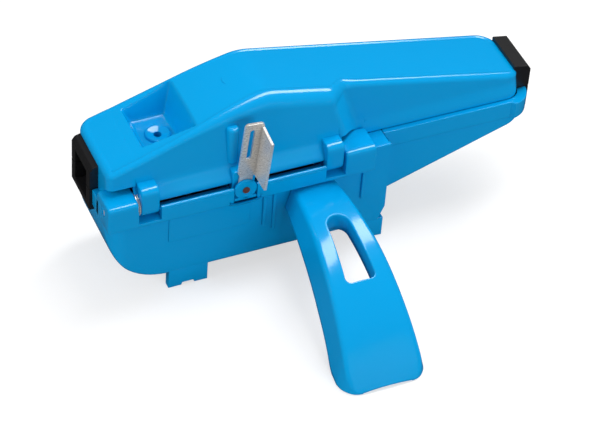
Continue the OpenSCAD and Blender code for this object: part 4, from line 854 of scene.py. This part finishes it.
def make_tank_fittings():
    """Hinge blocks, ribs, deck, panel, feet, inner posts and ribs, and the latch's ears."""
    made = []

    def add(name, *shape, **more):
        made.append(swept(name, "tank_body", *shape, **more))

    r = soft_polar(BLOCK_PLANES)
    r = np.where((AROUND_COS > 0) & (AROUND_SIN > 0), np.minimum(r, RECESS_R - RECESS_GAP), r)
    for i, span in enumerate(BLOCKS):
        add(f"hinge_block_{i + 1}", about_hinge(r), span, "x", BLOCK_EDGE, (HINGE_Y, HINGE_Z, BLOCK_BORE))
    for name, (low, high, corner, *sweep) in TANK_BARS.items():
        add(name, box_outline(low, high, corner), *sweep)
    for i, foot in enumerate(FEET):
        for k, y in enumerate(FOOT_Y):
            add(f"foot_{i + 1}_{k + 1}", foot_outline(*foot), (y, y + FOOT_T), "y", FOOT_EDGE)
    for i, x in enumerate(LOWER_POSTS):
        made.append(lathe(f"lower_post_{i + 1}", "tank_body", LOWER_POST, (x, 0, 0)))
    for i, (x, top) in enumerate(CROSS_RIBS):
        low = tank_floor(np.array([x]))[0] + CROSS_RIB_LIFT
        rib = box_outline((CROSS_RIB_Y[0], low), (CROSS_RIB_Y[1], top), CROSS_RIB_CORNER)
        add(f"cross_rib_{i + 1}", rib, (x, x + CROSS_RIB_T), "x")
    for i, x in enumerate(LATCH_EARS):
        add(f"latch_ear_{i + 1}", LATCH_EAR, (x, x + LATCH_EAR_T), "x")
    return made


LATCH_Y, LATCH_Z, LATCH_R, LATCH_SPAN, LATCH_EDGE = 26.4, 57.5, 3, (-39.0, -13.0), 0.6
LATCH_PLATE = ((26.4, 60.6), (25.6, 62.0), (25.6, 69.5), (26.9, 72.2), (26.9, 73.8), (25.9, 74.6),
               (24.5, 74.4), (23.4, 73.2), (23.4, 57.0))


def make_latch():
    """The latch plate: a round knuckle whose plate rises and ends in a hooked lip."""
    t = np.linspace(math.pi * 1.05, math.pi * 2, 14)
    knuckle = np.stack([LATCH_Y + LATCH_R * np.cos(t), LATCH_Z + LATCH_R * np.sin(t)], -1)
    outline = np.concatenate([knuckle, LATCH_PLATE])
    return swept("latch_plate", "latch_body", outline, LATCH_SPAN, "x", LATCH_EDGE)


# The inside: foam, bristles and their hubs

SPONGE_X, SPONGE_HALF, SPONGE_GAP = (80.0, 112.0), 12.0, 0.2
SPONGES = (("sponge_lower", 49.05, 61.0, 1.0, "tank_body"), ("sponge_upper", 65.0, 74.5, -1.0, "lid_body"))
# Radii of the foam's long edges and upright corners, and how far its faces' rings reach inwards
FOAM_EDGE, FOAM_CORNER, FOAM_REACH = 1.8, 1.5, 8.5
TROUGH_DEPTH, TROUGH_WIDTH, UNEVEN, PIT = 0.9, 4, 0.12, 0.22
PORES = np.random.default_rng(7)


def foam_levels(z0, z1):
    """Rings of a foam block as (inset, height): in to out on the under side, a quarter circle, the
    side, a quarter circle, and out to in on the upper side."""
    t, s, far_in = np.linspace(0, math.pi / 2, 7), FOAM_EDGE, np.linspace(0, 1, 26)
    levels = [(k * FOAM_REACH + s, z0) for k in far_in[::-1]]
    levels += [(s * (1 - math.sin(a)), z0 + s * (1 - math.cos(a))) for a in t[1:]]
    levels += [(0.0, z) for z in np.linspace(z0 + s, z1 - s, 9)[1:-1]]
    levels += [(s * (1 - math.cos(a)), z1 - s * (1 - math.sin(a))) for a in t]
    return levels + [(k * FOAM_REACH + s, z1) for k in far_in[1:]]


def make_sponge(name, z0, z1, way, body):
    """A foam block. The chain's groove is a shallow trough d exp(-(y / w)^2) on the working face,
    and the whole skin is uneven by a sum of sines and a little seeded noise."""
    u, n = np.linspace(0, 1, 40, endpoint=False), 40
    a, b, h = SPONGE_X[0] + SPONGE_GAP, SPONGE_X[1] - SPONGE_GAP, SPONGE_HALF - SPONGE_GAP
    edge_x = np.concatenate([a + u * (b - a), np.full(n, b), b - u * (b - a), np.full(n, a)])
    edge_y = np.concatenate([np.full(n, -h), -h + u * 2 * h, np.full(n, h), h - u * 2 * h])
    rings = []
    for inset, z in foam_levels(z0, z1):
        lo_x, hi_x, lim = a + inset, b - inset, h - inset
        x, y = np.clip(edge_x, lo_x, hi_x), np.clip(edge_y, -lim, lim)
        over_x = np.clip(np.maximum(lo_x + FOAM_CORNER - x, x - hi_x + FOAM_CORNER), 0, FOAM_CORNER)
        over_y = np.clip(np.abs(y) - lim + FOAM_CORNER, 0, FOAM_CORNER)
        over = np.hypot(over_x, over_y)
        pull = np.maximum(over - FOAM_CORNER, 0) / np.maximum(over, 1e-6)
        x = x + np.where(x < (a + b) / 2, 1, -1) * over_x * pull
        rings.append(np.stack([x, y - np.sign(y) * over_y * pull, np.full_like(x, z)], -1))
    p = np.stack(rings)
    x, y, z = p[..., 0], p[..., 1], p[..., 2].copy()
    lower, upper = z < z0 + 0.5, z > z1 - 0.5
    inner = (np.abs(y) < h - 0.3) & (x > a + 0.3) & (x < b - 0.3)
    uneven = UNEVEN * (np.sin(1.9 * x + 0.7 * y) + np.sin(1.3 * y - 0.9 * x))
    rough = np.where(inner, np.abs(uneven) + PORES.random(x.shape) * PIT, 0)
    trough = way * TROUGH_DEPTH * np.exp(-(y / TROUGH_WIDTH) ** 2)
    p[..., 2] = z + np.where(lower, rough, 0) - np.where(upper, rough, 0)
    p[..., 2] -= np.where(inner & (upper if way > 0 else lower), trough, 0)
    faces = grid_faces(len(rings), 4 * n, closed=True).tolist()
    faces += [list(range(4 * n))[::-1], [(len(rings) - 1) * 4 * n + i for i in range(4 * n)]]
    o = mesh_piece(name + "_foam", place(p.reshape(-1, 3)), faces, FOAM, body, 60.0, "sponge")
    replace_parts(o, name)


ROLLERS = (("brush_lower_front", -62.0, 44.5, 17.0, "roller_front"),
           ("brush_lower_rear", 10.0, 44.5, 17.0, "roller_rear"),
           ("brush_upper", -26.0, 81.0, 15.0, "roller_upper"))
HUB_R, ROLLER_HALF, AXLE_BORE = 6.0, 9.0, 2.06
# Half of the hub's profile: how far below its radius, and how far in from its end
HUB_STEPS = ((1.2, 0), (0.8, 0.4), (0.8, 1.4), (0.3, 1.6), (0, 2.0))
TUFT_TURNS, TUFT_ROWS, TUFT_HAIRS, TUFT_LANE, TUFT_R, TUFT_FAN = 20, 7, 11, 2.2, 0.85, 1.9
ROOT_DEPTH, HAIR_W, TIP_SHARE, TIP_REACH = 0.5, 0.34, 0.45, 0.7


def bristles(roots, tips):
    """Thin three-sided bristles from root to tip, tapering towards it."""
    along = tips - roots
    along /= np.linalg.norm(along, axis=1, keepdims=True)
    side = np.cross(along, np.array([0.3, 0.9, 0.31]))
    side /= np.linalg.norm(side, axis=1, keepdims=True)
    third = np.cross(along, side)
    rings = []
    for centre, w in ((roots, HAIR_W), (tips, HAIR_W * TIP_SHARE)):
        for a in 2 * math.pi * np.arange(3) / 3:
            rings.append(centre + (side * math.cos(a) + third * math.sin(a)) * w / 2)
    base = np.arange(len(roots))[:, None] * 6
    quads = np.concatenate([base + np.array([[k, (k + 1) % 3, (k + 1) % 3 + 3, k + 3]]) for k in range(3)])
    caps = (base + np.array([[3, 4, 5]])).tolist() + (base + np.array([[2, 1, 0]])).tolist()
    return place(np.stack(rings, 1).reshape(-1, 3)), quads.tolist() + caps


def tufts(rng, counts, radius):
    """Numbers of each bristle's tuft in two directions, and its own place in the tuft's circle."""
    first, second, _ = (g.ravel() for g in np.meshgrid(*(np.arange(n) for n in counts), indexing="ij"))
    off = rng.uniform(0, 1, len(first)) ** 0.5 * radius
    aim = rng.uniform(0, 2 * math.pi, len(first))
    return first, second, off * np.cos(aim), off * np.sin(aim)


def make_roller(name, x, z, r, body):
    """A turned hub with end collars, and tufts of fine bristles fanned a little at their tips."""
    half = [(HUB_R - d, ROLLER_HALF - t) for d, t in HUB_STEPS]
    profile = [(AXLE_BORE, -ROLLER_HALF), (AXLE_BORE, ROLLER_HALF)] + half
    profile += [(d, -t) for d, t in half[::-1]] + [(AXLE_BORE, -ROLLER_HALF)]
    hub = lathe(name + "_hub", body, profile, (x, 0, z), "y", BLACK)
    rng = np.random.default_rng(int(abs(x) * 10) + 3)
    ring, row, turn_off, lane_off = tufts(rng, (TUFT_TURNS, TUFT_ROWS, TUFT_HAIRS), TUFT_R)
    base, lane = (ring + (row % 2) / 2) * 2 * math.pi / TUFT_TURNS, (row - TUFT_ROWS // 2) * TUFT_LANE
    reach, deep = r - rng.uniform(0, TIP_REACH, len(ring)), HUB_R - ROOT_DEPTH
    root_turn, tip_turn = base + turn_off / HUB_R, base + turn_off * TUFT_FAN / r
    tip_y = np.clip(lane + lane_off * TUFT_FAN, HAIR * 10 - ROLLER_HALF, ROLLER_HALF - HAIR * 10)
    roots = np.stack([x + deep * np.cos(root_turn), lane + lane_off, z + deep * np.sin(root_turn)], -1)
    tips = np.stack([x + reach * np.cos(tip_turn), tip_y, z + reach * np.sin(tip_turn)], -1)
    hairs = mesh_piece(name + "_bristles", *bristles(roots, tips), NYLON, body)
    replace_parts(hub, name)
    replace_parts(hairs, name)


COMB_X, COMB_Y, COMB_Z, COMB_INNER = (50.0, 76.0), (12.0, 15.5), (53.55, 62.5), 4.0
COMB_TUFTS, COMB_TUFT_R, COMB_FAN, COMB_MARGIN = (15, 4, 10), 0.6, 1.6, (1.4, 1.6)
BAR_CORNER, BAR_SINK, COMB_REACH, COMB_GAP = 0.6, 0.4, 0.8, 0.2


def make_side_brushes():
    """Two combs: a rounded bar on either side with rows of fine bristles that point at the chain."""
    (x0, x1), (mid, outer), (z0, z1) = COMB_X, COMB_Y, COMB_Z
    rng = np.random.default_rng(11)
    for name, way in (("near", -1.0), ("far", 1.0)):
        lo, hi = sorted((way * mid, way * outer))
        outline = box_outline((lo, z0), (hi, z1), BAR_CORNER)
        bar = swept(f"side_brush_bar_{name}", "tank_body", outline, COMB_X, "x", material=BLACK)
        col, row, off_x, off_z = tufts(rng, COMB_TUFTS, COMB_TUFT_R)
        bx = x0 + COMB_MARGIN[0] + col * (x1 - x0 - 2 * COMB_MARGIN[0]) / (COMB_TUFTS[0] - 1)
        bz = z0 + COMB_MARGIN[1] + row * (z1 - z0 - 2 * COMB_MARGIN[1]) / (COMB_TUFTS[1] - 1)
        reach = COMB_INNER + rng.uniform(0, COMB_REACH, len(col))
        roots = np.stack([bx + off_x, np.full(len(col), way * (mid + BAR_SINK)), bz + off_z], -1)
        tip_x = np.clip(bx + off_x * COMB_FAN, x0 + COMB_GAP, x1 - COMB_GAP)
        tips = np.stack([tip_x, way * reach, bz + off_z * COMB_FAN], -1)
        hairs = mesh_piece(f"side_brush_bristles_{name}", *bristles(roots, tips), NYLON, "tank_body")
        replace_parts(bar, "side_brushes")
        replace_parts(hairs, "side_brushes")


# Camera: the photograph's angle, from above the handle's side

TURN = math.radians(-26.2)
TILT = math.radians(43.1)
ROLL = math.radians(4.55)
CAMERA_PLACE = np.array([-438.7, -908.5, 940.05]) * MM + ORIGIN
LENS = 156.0


def make_camera():
    """The camera looks along TURN and TILT, rolled by ROLL."""
    right = np.array([math.cos(TURN), math.sin(TURN), 0.0])
    ahead = np.array([-math.sin(TURN) * math.cos(TILT), math.cos(TURN) * math.cos(TILT), -math.sin(TILT)])
    up = np.cross(right, ahead)
    right2 = math.cos(ROLL) * right + math.sin(ROLL) * up
    up2 = -math.sin(ROLL) * right + math.cos(ROLL) * up
    data = bpy.data.cameras.new("camera")
    data.lens, data.sensor_width, data.clip_start, data.clip_end = LENS, 36.0, 0.01, 20.0
    cam = new_object("camera", data)
    rows = np.column_stack([right2, up2, -ahead, CAMERA_PLACE]).tolist()
    cam.matrix_world = Matrix(rows + [[0, 0, 0, 1]])
    bpy.context.scene.camera = cam


make_camera()


# Studio


def area_light(name, spot, size, power):
    """A soft rectangular lamp aimed at the object's middle."""
    data = bpy.data.lights.new(name, "AREA")
    data.shape, data.energy = "RECTANGLE", power
    data.size, data.size_y = size
    o = new_object(name, data)
    o.location = spot
    o.rotation_mode = "QUATERNION"
    o.rotation_quaternion = (MIDDLE - Vector(spot)).to_track_quat("-Z", "Y")
    return o


FLOOR_HALF, FLOOR_TONE, FLOOR_MIRRORED, FLOOR_GLOW = 3.0, 0.45, 0.04, 0.6


def make_floor():
    """A floor that shows white to the camera, keeps the soft shadow and is dark in reflections."""
    me = bpy.data.meshes.new("floor")
    corners = [(x * FLOOR_HALF, y * FLOOR_HALF, 0) for x, y in ((-1, -1), (1, -1), (1, 1), (-1, 1))]
    me.from_pydata(corners, [], [[0, 1, 2, 3]])
    o = new_object("floor", me)
    m, tree, shader = new_material("floor_white")
    rays = node(tree, "ShaderNodeLightPath").outputs
    terms = {0: rays["Is Glossy Ray"], 6: (*[FLOOR_TONE] * 3, 1), 7: (*[FLOOR_MIRRORED] * 3, 1)}
    tone = node(tree, "ShaderNodeMix", terms, data_type="RGBA").outputs[2]
    feed(tree, shader, {"Base Color": tone, "Roughness": 0.9, "Specular IOR Level": 0.0,
                        "Emission Color": (1, 1, 1, 1),
                        "Emission Strength": maths(tree, "MULTIPLY", rays["Is Camera Ray"], FLOOR_GLOW)})
    me.materials.append(m)


ROOM_LIGHT, ROOM_MIRRORED = 0.42, 0.12


def make_world():
    """A pale room: white where it is seen, soft grey as light and darker in reflections."""
    w = bpy.data.worlds.new("studio")
    bpy.context.scene.world = w
    w.use_nodes = True
    tree = w.node_tree
    rays = node(tree, "ShaderNodeLightPath").outputs
    seen = maths(tree, "MAXIMUM", rays["Is Camera Ray"], rays["Is Transmission Ray"])
    light = node(tree, "ShaderNodeMapRange", {"Value": seen, "To Min": ROOM_LIGHT, "To Max": 1.0})
    terms = {"Value": rays["Is Glossy Ray"], "To Min": 1.0, "To Max": ROOM_MIRRORED}
    mirrored = node(tree, "ShaderNodeMapRange", terms)
    strength = maths(tree, "MULTIPLY", light.outputs[0], mirrored.outputs[0])
    feed(tree, tree.nodes["Background"], {"Strength": strength, "Color": (1, 1, 1, 1)})


make_floor()
make_world()
MIDDLE = Vector((0.0, 0.0, 0.05))
area_light("overhead", (0.49, 0.25, 1.35), (0.42, 1.3), 14.0)
for lamp in (area_light("left", (-1.3, 0.1, 0.75), (0.5, 0.5), 7.0),
             area_light("front", (0.35, -1.5, 0.6), (1.0, 0.7), 9.5)):
    lamp.visible_glossy = False
bpy.context.scene.view_settings.view_transform = "Standard"

# CAD nodes and their finishes

STEEL_EDGE, PIN_EDGE, MOULDED_EDGE = 0.15 * MM, 0.2 * MM, 0.35 * MM
STEEL_NODES = ("handle_screws", "hinge_pin_left", "hinge_pin_right", "hinge_washers", "holder_arm",
               "latch_pin", "axle_lower_front", "axle_lower_rear", "axle_upper",
               "carrier_screws_lower", "carrier_screws_upper", "magnet")
BLACK_NODES = ("chain_guide_lower_left", "chain_guide_upper_left", "chain_guide_lower_right",
               "chain_guide_upper_right", "carrier_lower", "carrier_upper", "magnet_cover")
for name in STEEL_NODES:
    finish_node(name, STEEL, STEEL_EDGE)
for name in BLACK_NODES:
    finish_node(name, BLACK, MOULDED_EDGE)
finish_node("holder_arm_pin", BROWN, PIN_EDGE)

for piece in [make_lid()] + make_lid_fittings() + make_lug():
    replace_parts(piece, "lid")
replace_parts(make_handle(), "handle")
for piece in [make_tank()] + make_tank_fittings():
    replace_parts(piece, "tank")
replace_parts(make_latch(), "latch_lever")
for entry in SPONGES:
    make_sponge(*entry)
for entry in ROLLERS:
    make_roller(*entry)
make_side_brushes()
